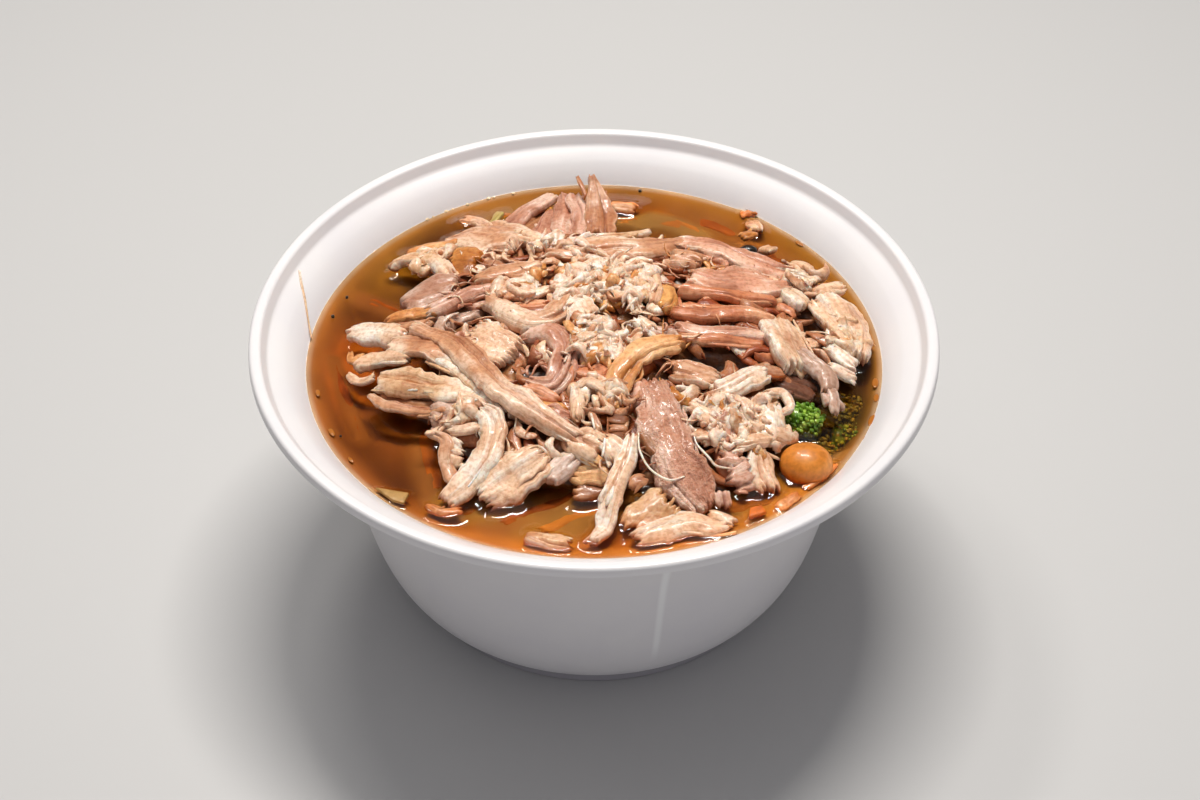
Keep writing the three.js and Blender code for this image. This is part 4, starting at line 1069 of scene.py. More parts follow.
# %% Smaller strips with a place of their own
SMALLER = [
    (4, 3, "grey", [(-42, -3, -2), (-40, 3, -2), (-35, 6, -3), (-29, 7, -3)]),
    (3, 2, "tan", [(-57, 3, 0), (-50, 0, 0.5), (-43, 1, 0)]),
    (5, 3, "brown", [(-57, -20, -2), (-48, -25, -2), (-40, -27, -2)]),
    (2, 1.5, "golden", [(-66, -3, 0), (-65, -8, 0), (-61, -6, 0)]),
    (2.5, 2, "cream", [(-66, -12, 0), (-63, -16, 0), (-58, -16, 0)]),
    (3, 2, "cream", [(-35, -28, 1), (-29, -32, 1), (-25, -38, 0.5)]),
    (4, 2.5, "pale", [(-37, -31, 1), (-33, -33, 1), (-30, -36, 0.5)]),
    (3, 2, "tan", [(-29, -39, 1), (-34, -40, 0.5), (-38, -39, 0)]),
    (3.5, 2.5, "pale", [(-38, -41, 0), (-36, -43, 0.4), (-33, -45, 0)]),
    (5, 3, "cream", [(-38, -44, -0.3), (-35, -46, 0), (-32, -47, -0.3)]),
    (3, 2, "golden", [(-42, -60, 0), (-38, -63, 0), (-32, -62, 0)]),
    (7, 3, "red", [(-25, 6, -1), (-18, 4, -1), (-11, 5, -1)]),
    (5, 3, "red", [(-19, -27, -0.5), (-13, -30, 0), (-8, -33, 0)]),
    (5, 3, "amber", [(-15, -31, -1), (-11, -34, -0.8), (-7, -36, -1)]),
    (3, 2, "cream", [(-1, -26, 1), (-2, -30, 1), (-2, -34, 0.5)]),
    (4, 3, "cream", [(-2, 23, 1), (0, 17, 1), (1, 12, 0.5)]),
    (5, 3, "tan", [(2, 23, 0), (6, 21.5, 0.4), (10, 19, 0)]),
    (6, 3, "amber", [(1, 9, 0), (4, 6, 0.3), (7, 2, 0)]),
    (3.5, 3, "cream", [(16, 20, 1), (17, 11, 1), (16, 3, 0.5)]),
    (7, 5, "pale", [(-6, -6, 0), (0, -8, 1), (5, -6, 0)]),
    (4, 3, "red", [(-6, -21, -1), (0, -23, -0.5), (5, -20, -1)]),
    (4.5, 3, "cream", [(11, -1, 0), (13, -4, 0.3), (16, -8, 0)]),
    (8, 3, "brown", [(-22, 45, -1), (-16, 52, -1), (-12, 60, 1)]),
    (3, 2, "pale", [(-3, 37, 1), (8, 38, 1), (17, 41, 1)]),
    (3, 2, "cream", [(54, 30, 0.5), (59, 31, 0.6), (63, 31, 0)]),
    (3, 2, "cream", [(52, 22, 0.5), (57, 21, 0.5), (61, 19, 0)]),
    (8, 4, "tan", [(21, 28, 0.6), (27, 27, 1.2), (31, 24, 0.8)]),
    (4, 3, "red", [(24, 6, -1), (33, 4, -1), (48, 5, -1)]),
    (3.5, 3, "red", [(21, -9, 0), (32, -9, 0.5), (46, -9, 0)]),
    (4, 3, "brown", [(12, -42, 0), (16, -48, 0), (20, -54, 0)]),
    (4, 3, "cream", [(5, -58, 1), (3.5, -61, 1.3), (2, -64, 0.5)]),
    (4, 2.5, "cream", [(26, -45, 1), (31, -42, 0.5), (35, -40, 0.3)]),
    (2.5, 2, "cream", [(44, -28, 1), (49, -27, 1), (51, -31, 1), (48, -33, 0.5)]),
    (4, 3, "pink", [(32, -56, 0), (32.5, -59, 0), (33, -62, -0.3)]),
    (9, 4, "brown", [(37, -33, -1.5), (41, -34.5, -1.3), (46, -35, -1.5)]),
    (4, 2, "cream", [(34, -38, 0.5), (37, -39.5, 0.7), (40, -41, 0.5)]),
    (4, 2, "grey", [(34, -31, 1), (37, -32, 1), (39, -33, 0.5)]),
    (4, 2.5, "cream", [(62, -13, 0.5), (66, -15, 0.5), (70, -16, 0)]),
    (3, 2, "grey", [(62, -22, 1.3), (63, -26, 1.2), (63, -30.5, 0.3)]),
    (7, 2.5, "shade", [(47, -19, -3.2), (53, -20.5, -3), (59, -21.5, -3.4)]),
    (2.6, 1.8, "golden", [(62.6, -44.4, -0.7), (59.6, -48.4, -0.4), (56, -52, -0.4), (53.5, -54.4, -0.7)]),
    (3, 2, "pale", [(28, -63, 0), (33, -66, 0.2), (36, -66.5, 0)]),
    (4, 2.5, "pale", [(48, 37, 0), (50, 39.5, 0.2), (52, 42, 0)]),
    (9, 5, "cream", [(-6, -43.5, 0.8), (-1.5, -46.5, 1.2), (3, -48.5, 0.3)]),
    (4, 2.5, "golden", [(-5, -48, -0.8), (-1, -49.5, -0.4), (3, -51, -1)]),
    (7, 3.5, "cream", [(1.5, -43.5, 0.5), (5, -47, 0.8), (7.5, -51, 0)]),
    (2, 1.6, "pale", [(0.5, -31.5, 1.2), (0.7, -34, 1.4), (1.2, -36.5, 0.6)]),
    (2, 1.6, "tan", [(-1.2, -36, 0.2), (0.6, -40, 0.6), (1.8, -43.5, 0.6)]),
    (3, 2, "brown", [(2.6, -37.4, -1), (6, -38.2, -0.6), (9.4, -37.8, -1)]),
    (3, 2, "tan", [(3.2, -40, -1), (6.2, -40.8, -0.5), (9, -40.4, -1)]),
    (3, 2, "brown", [(3.8, -42.6, -1), (6, -43.4, -0.6), (8.8, -43, -1)]),
    (3.5, 2, "tan", [(9, -58.8, 0), (11.6, -56.5, 0.5), (14, -55.4, 0)]),
    (7, 3.5, "golden", [(-6, -51, -2.6), (0.5, -52, -2.2), (6.5, -53.5, -2.8)]),
    (6, 3, "brown", [(-6, -55, -4), (0, -56, -4), (5, -55, -4)]),
    (4, 2.2, "golden", [(45.4, 65.5, -0.3), (46.3, 61, 0.7)]),
    (3.5, 2, "amber", [(42, 46, -0.2), (46, 49, 0.4), (48, 51, 0)]),
    (3.2, 1.6, "leaf", [(-30.6, 55, -0.5), (-29, 59.5, 0.3), (-27.4, 63.5, 0.2)]),
]

GLINT_THREAD_WIDTH = 0.65         # mm
GLINT_THREAD_THICKNESS = 0.6      # mm
GLINT_THREADS = [                # near-white threads laid over the heap as painted glint lines
    [(11.3, -44, 1.2), (11.6, -49.4, 1.1), (14.2, -54.2, 1), (18.9, -56.9, 1), (23, -55.7, 1.2)],
    [(25.4, -44, 1), (26.2, -46.9, 1), (28.8, -49.8, 1), (30.8, -51.9, 0.8), (34.8, -52.2, 0.8)],
    [(-0.8, -38.3, 1.3), (-0.3, -41.4, 1.6), (0.3, -43.6, 1.6)],
    [(2.8, -46.1, 1.8), (2.6, -49, 1.8), (2.1, -51.4, 1.4)],
    [(-31.5, -57, 1.4), (-28.6, -53, 1.8), (-25.6, -51, 1.5), (-24.6, -48, 1)],
]

seed = 20000
smaller_pile = MeatPile()
for width, thickness, tone, points in SMALLER:
    seed += 100
    dressed_strip(smaller_pile, width, thickness, tone, points, seed, strands=1)
press_inside(smaller_pile, 0.1)
note_waterline(smaller_pile)
pile_piece("shreds_smaller", smaller_pile)
# Painted glints: near-white threads where glint lines show over the heap.
glint_thread_pile = MeatPile()
for k, points in enumerate(GLINT_THREADS):
    line = strip_path(points, GLINT_THREAD_THICKNESS, 0.2, 60 + k)
    torn_strip(glint_thread_pile, GLINT_THREAD_WIDTH, GLINT_THREAD_THICKNESS, "glint_white", line, 70 + k, fray=0.2, clefts=0,
               ridge=0.02, lump=0.1, curl=0, cell=0.3, wet=1.0)
pile_piece("painted_glint_threads", glint_thread_pile)

# %% Small shreds under and between the strips
strip_table = np.concatenate(strip_lines)
tone_names = list(TONES)


def nearest_strip(x, y):
    """Heading and tone number of the strip nearest to each place in plan."""
    gap = np.hypot(x[:, None] - strip_table[:, 0], y[:, None] - strip_table[:, 1])
    best = gap.argmin(1)
    return strip_table[best, 2], strip_table[best, 3].astype(int)


def places_on_heap(random, count):
    """Even random places inside the core's outline, by the square root of chance for the radius."""
    turn = random.random(count)
    out = core_reach(turn) * np.sqrt(random.random(count))
    return HEAP_CENTRE_X + out * np.cos(2 * np.pi * turn), out * np.sin(2 * np.pi * turn)


OTHER_MEAT = (0.3, 0.2, 0.13, 0.1, 0.06, 0.06, 0.08, 0.03, 0.04)   # shares of the first nine kinds
SAME_MEAT = 0.65           # share of the shreds that are of their nearest strip's kind


def scattered_shreds(pile, count, lengths, widths, lifts, seed, turn=0.5, **style):
    """Shreds over the heap that mostly follow their nearest strip."""
    random = np.random.default_rng(seed)
    x, y = places_on_heap(random, count)
    x, y = (values[in_hollow(x, y) == 0] for values in (x, y))
    count = len(x)
    heading, kind = nearest_strip(x, y)
    other = random.choice(len(OTHER_MEAT), count, p=OTHER_MEAT)
    same = (random.random(count) < SAME_MEAT) & (kind != tone_names.index("amber"))
    kind = np.where(same, kind, other)
    length = random.uniform(*lengths, count)
    width = random.uniform(*widths, count)
    z = mound_height(x, y) + random.uniform(*lifts, count)
    small_shreds(pile, np.stack([x, y, z], 1), heading + random.normal(0, turn, count), length, width,
                 width * random.uniform(0.3, 0.65, count), tone_colours([tone_names[k] for k in kind]),
                 seed, **style)


under_pile = MeatPile()
# The shade colour multiplies a painted shade into these shreds, which lie deep in the heap.
scattered_shreds(under_pile, 340, (7, 15), (2.4, 5.0), (-4.4, -2.4), 21, turn=0.35, rows=12, columns=10,
                 rough=0.2, wet=0.6, shade="#c49a80")
note_waterline(under_pile)
pile_piece("shreds_under", under_pile)

between_pile = MeatPile()
scattered_shreds(between_pile, 230, (5, 12), (1.6, 3.8), (-3.0, -1.2), 22, rows=14, columns=10,
                 rough=0.2)
pile_piece("shreds_between", between_pile)

thread_pile = MeatPile()
scattered_shreds(thread_pile, 130, (3, 8), (0.45, 0.9), (-0.8, 0.7), 23, turn=1.2, columns=6,
                 arch=0.25, rough=0.4)
pile_piece("meat_threads", thread_pile)

# %% [markdown]
# Breast meat also breaks into crumbs and short curls. They gather in a few places, most of all in the
# middle of the heap. Each place is an oval in plan that is thicker in its middle, filled with the same
# small shreds as before: longer, bent ones for the curls, and short, rough ones for the crumbs.

# %% Crumbly places
CRUMBLY = [                # middle x, y, half width, half depth, how many, kind of meat
    (3, 14, 12, 10, 230, "crumb"), (0, -12, 6, 8, 70, "crumb"), (34, -38, 7, 7, 60, "crumb"),
    (69, 2, 5, 7, 30, "pale"), (-20, 13, 6, 6, 30, "crumb"), (-10, 33, 6, 4, 24, "crumb"),
    (44, -36, 5, 7, 24, "cream"), (-46, 34, 5, 4, 20, "pale"), (4, -30, 5, 5, 20, "cream"),
    (58, 25, 6, 4, 16, "cream"), (-36, -36, 5, 5, 14, "cream"),
]


def crumbly_places(pile, share, lengths, widths, lifts, seed, **style):
    """Short pieces in each crumbly place, thicker in its middle."""
    random = np.random.default_rng(seed)
    for x, y, half_x, half_y, count, tone in CRUMBLY:
        count = int(share * count)
        px = x + half_x * np.clip(random.normal(0, 0.5, count), -1, 1)
        py = y + half_y * np.clip(random.normal(0, 0.5, count), -1, 1)
        width = random.uniform(*widths, count)
        z = mound_height(px, py) + random.uniform(*lifts, count)
        kinds = np.where(random.random(count) < 0.75, tone, random.choice(["cream", "tan", "golden"], count))
        small_shreds(pile, np.stack([px, py, z], 1), random.uniform(0, np.pi, count),
                     random.uniform(*lengths, count), width, width * random.uniform(0.45, 0.75, count),
                     tone_colours(kinds), seed + count, **style)


curl_pile = MeatPile()
crumbly_places(curl_pile, 0.7, (4.5, 10.0), (2.4, 4.8), (-1.3, 0.5), 31, rows=12, bend=0.45,
               arch=0.25, roll=0.9)
pile_piece("meat_curls", curl_pile)
crumb_pile = MeatPile()
crumbly_places(crumb_pile, 0.36, (1.4, 3.6), (1.2, 2.8), (-0.5, 0.8), 32, rows=7, rough=0.4)
pile_piece("meat_crumbs", crumb_pile)

# %% [markdown]
# ## Vegetables
#
# A floret of broccoli is a dome of buds, and each bud is a cluster of beads a millimetre across. A bumpy
# ball would look like moss from close by, so every bead is a little ball of its own. The golden angle
# spreads both the buds and the beads evenly. Florets that lie under the broth have fewer beads.

# %% Broccoli
TONES["green"] = ("#5c8a1a", "#a8cc48", "#223c08")
TONES["lime"] = ("#7ca82a", "#c4dc68", "#3c5a10")
TONES["olive"] = ("#6c7424", "#a8a040", "#343c0e")


def beads(pile, centres, radii, tones, seed, rows=7, columns=8):
    """Uneven little balls at the given centres."""
    count = len(centres)
    small_shreds(pile, centres, np.zeros(count), 2 * radii, 2 * radii, 2 * radii, tone_colours(tones), seed,
                 rows=rows, columns=columns, bend=0, roll=0, arch=0, rough=0.12, wet=0.6)


def sphere_points(count, low=-1.0):
    """Even directions on a ball by the golden angle, from the top down to the given height."""
    k = np.arange(count)
    z = 1 - (k + 0.5) / count * (1 - low)
    turn = k * np.pi * (3 - np.sqrt(5))
    return np.stack([np.sqrt(1 - z * z) * np.cos(turn), np.sqrt(1 - z * z) * np.sin(turn), z], 1)


FLORET_CENTRE = np.array([55.2, -28.8, 72.5])
FLORET_BUDS = 13
BUD_REACH = 3.8            # mm from the floret's middle to each bud's
BUD_RADIUS = 1.75
HEART_RADIUS = 4.2         # the plain ball in the middle, so that no light falls through


def floret(pile, centre, scale, bead_count, tones, seed, **detail):
    """Buds on the upper half of a ball by the golden angle, each bud covered with beads."""
    random = np.random.default_rng(seed)
    buds = centre + scale * BUD_REACH * sphere_points(FLORET_BUDS, 0.0)
    around = sphere_points(bead_count)
    spots = (buds[:, None] + scale * BUD_RADIUS * around).reshape(-1, 3)
    spots += random.normal(0, 0.22 * scale, spots.shape)
    beads(pile, spots, random.uniform(0.36, 0.68, len(spots)) * scale, random.choice(tones, len(spots)), seed,
          **detail)
    beads(pile, centre[None], np.array([HEART_RADIUS * scale]), tones[:1], seed + 1, rows=12, columns=16)


def cooked_plant(name, roughness, coat):
    """Boiled vegetable: tint by corner, faint blotches 1 mm across, a wet film over it."""
    material, tree, output = new_material(name)
    tint = add_node(tree, "ShaderNodeAttribute", attribute_name="tint").outputs["Color"]
    place = add_node(tree, "ShaderNodeTexCoord").outputs["Object"]
    blotches = add_node(tree, "ShaderNodeTexNoise", {"Vector": place, "Scale": 1 / (1.5 * MM), "Detail": 3.0})
    shade = ramp(tree, blotches.outputs["Fac"], (0.3, "#c9c3b0"), (0.6, "#ffffff"))
    colour = mixed_colour(tree, 0.6, tint, shade, "MULTIPLY")
    bump = add_node(tree, "ShaderNodeBump", {
        "Height": blotches.outputs["Fac"], "Strength": 0.4, "Distance": 0.2 * MM})
    shader = add_node(tree, "ShaderNodeBsdfPrincipled", {
        "Base Color": colour, "Roughness": roughness, "IOR": 1.4, "Subsurface Weight": 0.12,
        "Subsurface Radius": (1.0, 0.8, 0.4), "Subsurface Scale": 0.6 * MM, "Coat Weight": coat,
        "Coat Roughness": 0.08, "Normal": bump.outputs["Normal"]})
    tree.links.new(shader.outputs["BSDF"], output.inputs["Surface"])
    return material


greens = cooked_plant("boiled_broccoli", 0.4, 0.4)
floret_pile = MeatPile()
floret(floret_pile, FLORET_CENTRE, 1.0, 22, ["green", "green", "lime"], 41)
note_waterline(floret_pile)
pile_piece("broccoli_beads", floret_pile, "broccoli_floret", material=greens, slot="broccoli")

SUNKEN_FLORETS = [         # centre, scale and tone of each floret under the broth
    ((64, -23, 63.4), 1.4, "olive"), ((67, -31, 64.4), 1.2, "green"), ((58, -36, 64.6), 1.2, "olive"),
    ((69, -19, 64.6), 1.1, "olive"), ((-60, 43, 63.8), 1.2, "green"), ((-55, 48, 64), 1.1, "olive"),
]
sunken_greens = MeatPile()
for k, (centre, scale, tone) in enumerate(SUNKEN_FLORETS):
    floret(sunken_greens, np.array(centre, float), scale, 16, [tone, "olive"], 50 + 3 * k, rows=5, columns=6)
press_inside(sunken_greens, 0.3)
pile_piece("sunken_broccoli", sunken_greens, material=greens, slot="broccoli")

# %% [markdown]
# The bean and the pepper seed are balls with slightly uneven radii. The two cut bits of root are flat
# slices whose faces are drawn in a little, as the edges of boiled vegetable are never quite sharp. All
# of them float or stand in the broth, so their waterlines are noted for its curved edge.

# %% The bean, the pepper seed and the two cut slices
TONES["pulse"] = ("#dc8630", "#eb9f4e", "#8c4412")
TONES["black"] = ("#1a120e", "#33251c", "#0b0705")
TONES["root"] = ("#b88c4c", "#cca870", "#8a6028")
TONES["carrot"] = ("#e2721a", "#f29a44", "#a6480c")


def lump(pile, centre, radii, tone, dents, seed, rows=40, columns=48):
    """An uneven ball: rings from the top down, its radii swelling by 1 + dents * noise."""
    polar = np.linspace(0.02, np.pi - 0.02, rows)[:, None]
    turn = np.arange(columns) * 2 * np.pi / columns
    outwards = np.stack([np.sin(polar) * np.cos(turn), np.sin(polar) * np.sin(turn),
                         np.cos(polar) + 0 * turn], -1).reshape(-1, 3)
    outwards = np.concatenate([outwards, [[0, 0, 1], [0, 0, -1]]])
    swell = 1 + dents * noise(outwards, 0.9, seed) + 0.3 * dents * noise(outwards, 0.35, seed + 1)
    corners = np.array(centre) + outwards * swell[:, None] * np.array(radii)
    # Painted shade: darker towards the underside.
    hollow = 0.5 * smooth(-outwards[:, 2], 0, 0.8)
    tint, soaked = meat_tint(tone_colours([tone])[0], 0.5 + 0.4 * noise(outwards, 0.5, seed + 2), hollow,
                             corners[:, 2])
    pile.add(corners, closed_quads(rows, columns)[:, ::-1], tint, corners[:, :2], 0.6 + 0 * soaked)


SLICE_LIFT = 0.3           # mm from the broth's level to a slice's lower face


def slice_piece(pile, outline, thickness, tone, seed):
    """A thin cut slice: its outline in plan shrunk a little at both faces, and closed by a middle."""
    outline = np.array(outline, float)
    sides = np.concatenate([a + (b - a) * np.linspace(0, 1, 8, endpoint=False)[:, None]
                            for a, b in zip(outline, np.roll(outline, -1, axis=0))])
    middle = outline.mean(0)
    levels = [(0.35, 0), (0.7, 0), (0.96, 0), (1, 0.12), (1, 0.88), (0.96, 1), (0.7, 1), (0.35, 1)]
    base = BROTH_LEVEL + SLICE_LIFT
    rings = [np.c_[middle + (sides - middle) * share, np.full(len(sides), base + thickness * part)]
             for share, part in levels]
    poles = [[*middle, base], [*middle, base + thickness]]
    corners = np.concatenate(rings + [poles])
    tint, soaked = meat_tint(tone_colours([tone])[0], 0.5 + 0.5 * noise(corners, 1.5, seed),
                             0 * corners[:, 0], corners[:, 2] + 3)
    turned_left = np.cross(outline[1] - outline[0], outline[2] - outline[1]) > 0
    quads = closed_quads(len(levels), len(sides))
    pile.add(corners, quads if turned_left else quads[:, ::-1], tint, corners[:, :2], 0.6 + 0 * soaked)


def afloat(name, node, slot, pile, material):
    """The piece of a pile that stands in the broth, in place of its plain solid."""
    note_waterline(pile)
    pile_piece(name, pile, node, material=material, slot=slot)


bean_pile = MeatPile()
lump(bean_pile, (54.3, -46, 74.3), (6.8, 6.4, 5.4), "pulse", 0.04, 61)
afloat("round_soft_bean", "round_bean", "bean", bean_pile, cooked_plant("boiled_bean", 0.42, 0.2))
seed_pile = MeatPile()
lump(seed_pile, (44.5, 43, 75), (2.7, 1.8, 1.6), "black", 0.05, 62, rows=20, columns=24)
soaked_pepper = cooked_plant("soaked_pepper", 0.3, 0.5)
afloat("black_seed", "pepper_seed", "pepper", seed_pile, soaked_pepper)
root_pile = MeatPile()
slice_piece(root_pile, [(-55, -54.5), (-46.5, -56.5), (-47.5, -60), (-50.5, -58.8)], 1.2, "root", 63)
afloat("cut_root", "root_slice", "root", root_pile, cooked_plant("boiled_root", 0.35, 0.4))
carrot_pile = MeatPile()
slice_piece(carrot_pile, [(38.5, -65.2), (43, -63.2), (42, -61), (39, -62)], 1.4, "carrot", 64)
afloat("cut_carrot", "carrot_bit", "carrot", carrot_pile, cooked_plant("boiled_carrot", 0.35, 0.4))

# %% [markdown]
# One hair of meat sticks to the bowl's shoulder, from just above the broth to the lid's seat. Two thin
# strips wound about each other make it, because a single round thread would look like wire.

# %% The stray fibre on the shoulder
FIBRE_WIDTH = 0.42         # mm, of each of its two strands
FIBRE_WIND = 0.17          # mm from the fibre's middle to each strand's
FIBRE_PATH = np.array([(-82.9, 26, 81.2), (-82, 21.6, 79.7), (-80.4, 15.8, 77.4), (-79, 9.5, 75.3),
                       (-77.8, 4.5, 74.1)])
fibre_pile = MeatPile()
for strand in range(2):
    stations, curve = smooth_path(FIBRE_PATH)
    phase = stations / 9 + strand * np.pi
    curve = curve + FIBRE_WIND * np.stack([np.cos(phase), np.sin(phase), 0 * phase], 1)
    line = (stations, curve, np.tile([0.6, 0, 0.8], (len(stations), 1)))
    torn_strip(fibre_pile, FIBRE_WIDTH, FIBRE_WIDTH, "pale", line, 700 + strand, fray=0.5, clefts=0,
               ridge=0.02, lump=0.03, curl=0, cell=0.22)
pile_piece("stray_hair_of_meat", fibre_pile, "stray_fibre")

# %% [markdown]
# Soft bands of meat and vegetable lie a few millimetres under the broth and are seen through it. They
# are torn strips again, in a matt material, because nothing under the surface has a shine of its own.

# %% What lies under the broth
def settled_haze():
    """Fine meat and fat in suspension: matt, soft-edged, coloured by corner."""
    material, tree, output = new_material("settled_haze")
    tint = add_node(tree, "ShaderNodeAttribute", attribute_name="tint").outputs["Color"]
    shader = add_node(tree, "ShaderNodeBsdfPrincipled", {"Base Color": tint, "Roughness": 0.95, "IOR": 1.0})
    tree.links.new(shader.outputs["BSDF"], output.inputs["Surface"])
    return material


suspended = settled_haze()
SUNKEN = [                 # width, thickness, kind, and (x, y, z) points of each sunken strip
    (7, 3, "sunken", [(-43, -28, 68.5), (-43, -40, 68.5), (-40, -54, 69)]),
    (8, 3, "sunken", [(-24, -66, 69.5), (-14, -60, 69.5), (0, -50, 70)]),
    (9, 3, "drowned", [(-13, -70, 69.3), (-4, -63, 69.6), (8, -55, 69.6)]),
    (7, 3, "drowned", [(-36, -59, 69.2), (-27, -59, 69.5), (-18, -57, 69)]),
    (12, 3, "sunken", [(12, -60, 69.5), (22, -64, 69.5), (32, -62, 69)]),
    (9, 3, "drowned", [(30, -60, 69.5), (40, -56, 69.5), (47, -50, 69)]),
    (5, 3, "murky", [(-66, 25, 68.4), (-60, 22, 68.4), (-54, 18.5, 68)]),
    (3, 2, "murky", [(-71.5, -1, 68.8), (-67.2, -15, 68.6), (-61, -32, 68)]),
    (5, 3, "drowned", [(6, 62.4, 70.4), (10, 61.8, 70.6), (14, 60.2, 70.2)]),
    (6, 3, "drowned", [(17, 62.4, 70.2), (24, 60, 70.4), (31, 54, 70)]),
    (6, 3, "sunken", [(26, 68, 68.6), (36, 62, 69), (46, 56, 68.6)]),
    (6, 3, "sunken", [(36, 50, 69), (46, 47, 69.4), (56, 41, 69)]),
    (6, 3, "drowned", [(-30, 65, 69.3), (-20, 67, 69.5), (-8, 68, 69.2)]),
    (5, 3, "sunken", [(60, 38, 69), (66, 28, 69), (70, 18, 69)]),
    (4, 3, "drowned", [(50, -58, 70.3), (58, -50, 70.6), (64, -41, 70)]),
]

sunken_pile = MeatPile()
for k, (width, thickness, tone, points) in enumerate(SUNKEN):
    stations, curve = smooth_path(points)
    line = (stations, curve, np.tile([0.0, 0, 1], (len(stations), 1)))
    torn_strip(sunken_pile, width, thickness, tone, line, 900 + 50 * k, cell=0.8, ridge=0.06)
press_inside(sunken_pile, 0.6)
pile_piece("sunken_shreds", sunken_pile, material=suspended)

# %% [markdown]
# ## Broth
#
# Clear stock bends light like water and soaks it up: blue first, then green, so it is amber where it is
# thin over white plastic and deep brown where it is deep. Where it touches meat or the wall it
# climbs about a millimetre. That curved edge is worth modelling, because it carries all the glints.

# %% How far the broth's surface is from what stands in it
CLIMB = 1.9                # mm that broth climbs against meat
CLIMB_RUN = 1.6            # mm over which the climb dies away
WALL_CLIMB = 0.9           # mm that broth climbs against the bowl
WALL_RUN = 1.7             # mm over which that climb dies away
CALM_DROP = 0.5            # mm: the calm middle lies lower, as the climbing edges take broth from it
INTO_WALL = 0.35           # mm that the broth's side lies inside the wall's plastic
INTO_FLOOR = 0.3           # mm that its underside lies inside the floor's


def shore_distance(x, y):
    """Distance in plan from each place to the nearest waterline point, by a tree of those points."""
    found = np.concatenate(waterline)
    nearest = kdtree.KDTree(len(found))
    for k, (shore_x, shore_y) in enumerate(found):
        nearest.insert((shore_x, shore_y, 0), k)
    nearest.balance()
    gaps = [nearest.find((place_x, place_y, 0))[2] for place_x, place_y in zip(x.ravel(), y.ravel())]
    return np.reshape(gaps, x.shape)


def softened(grid, passes=3):
    """A grid averaged with its four neighbours, a few times, so that its creases become hollows."""
    for _ in range(passes):
        padded = np.pad(grid, 1, mode="edge")
        around = padded[2:, 1:-1] + padded[:-2, 1:-1] + padded[1:-1, 2:] + padded[1:-1, :-2]
        grid = (grid + around) / 5
    return grid


def wall_height(gap):
    """Height of the broth at a gap from the wall, where it climbs by climb * exp(-gap / run)."""
    return WALL_CLIMB * np.exp(-np.maximum(gap, 0) / WALL_RUN)


# %% [markdown]
# Its top is a fine grid over the whole bowl. A square grid squeezed onto a disc has cells of nearly one
# size, where rings would crowd in the middle. Its sides and underside only need to follow the bowl.

# %% The broth's body
def disc_grid(count):
    """Square grid squeezed onto a disc: the larger coordinate is the radius, the ratio the angle."""
    a, b = np.meshgrid(np.linspace(-1, 1, count), np.linspace(-1, 1, count), indexing="ij")
    wide = np.abs(a) > np.abs(b)
    radius = np.where(wide, a, b)
    safe = np.where(radius == 0, 1, radius)
    angle = np.where(wide, np.pi / 4 * b / safe, np.pi / 2 - np.pi / 4 * a / safe)
    return radius * np.cos(angle), radius * np.sin(angle)


DISC = 255                 # corners along each side of the square grid
EDGE_HEIGHT = BROTH_LEVEL - CALM_DROP + WALL_CLIMB
inner_line = wall_line(WALL)
BROTH_RADIUS = np.interp(EDGE_HEIGHT, inner_line[:, 1], inner_line[:, 0]) + INTO_WALL
disc_x, disc_y = disc_grid(DISC)
disc_x, disc_y = disc_x * BROTH_RADIUS, disc_y * BROTH_RADIUS
climb = softened(CLIMB * np.exp(-shore_distance(disc_x, disc_y) / CLIMB_RUN))
from_wall = BROTH_RADIUS - INTO_WALL - np.hypot(disc_x, disc_y)
disc_z = BROTH_LEVEL - CALM_DROP + np.hypot(climb, wall_height(from_wall))
surface = np.stack([disc_x, disc_y, disc_z], -1).reshape(-1, 3)

edge = np.concatenate([
    np.arange(DISC - 1), np.arange(DISC - 1) * DISC + DISC - 1,
    (DISC - 1) * DISC + np.arange(DISC - 1, 0, -1), np.arange(DISC - 1, 0, -1) * DISC,
])
underside = FLOOR_HEIGHT - INTO_FLOOR
side_line = wall_line(WALL - INTO_WALL)
side_line = side_line[(side_line[:, 1] < EDGE_HEIGHT - 0.5) & (side_line[:, 1] > 6)][::-10]
side_line = np.concatenate([side_line, [[FOOT_RADIUS - 2, underside], [8, underside]]])
edge_angle = np.arctan2(surface[edge, 1], surface[edge, 0])
sides = np.stack([
    side_line[:, :1] * np.cos(edge_angle), side_line[:, :1] * np.sin(edge_angle),
    np.broadcast_to(side_line[:, 1:], (len(side_line), len(edge)))], -1).reshape(-1, 3)
ring = np.concatenate([edge, len(surface) + np.arange(len(sides))])
broth_quads = np.concatenate([
    sheet_quads(DISC, DISC)[:, ::-1],
    ring[tube_quads(len(side_line) + 1, len(edge))],
])
broth_corners = np.concatenate([surface, sides, [[0, 0, underside]]])
last_ring = ring[-len(edge):]
middle = np.full(len(edge) // 2, len(broth_corners) - 1)
cap = np.stack([last_ring[0::2], last_ring[1::2], np.roll(last_ring, -2)[0::2], middle], 1)
broth = add_mesh("broth_body", broth_corners, np.concatenate([broth_quads, cap]))
print(f"broth: level {BROTH_LEVEL} mm, edge radius {BROTH_RADIUS:.1f} mm")


# %% [markdown]
# A renderer can only send lamp light through curved glass by luck, so the shader lets shadow rays pass
# straight through, tinted by the depth they cross. Everything under the broth is lit that way.

# %% Clear stock
STOCK_TINT = (0.917, 0.75, 0.05, 1)    # linear: what passes best is red, then green


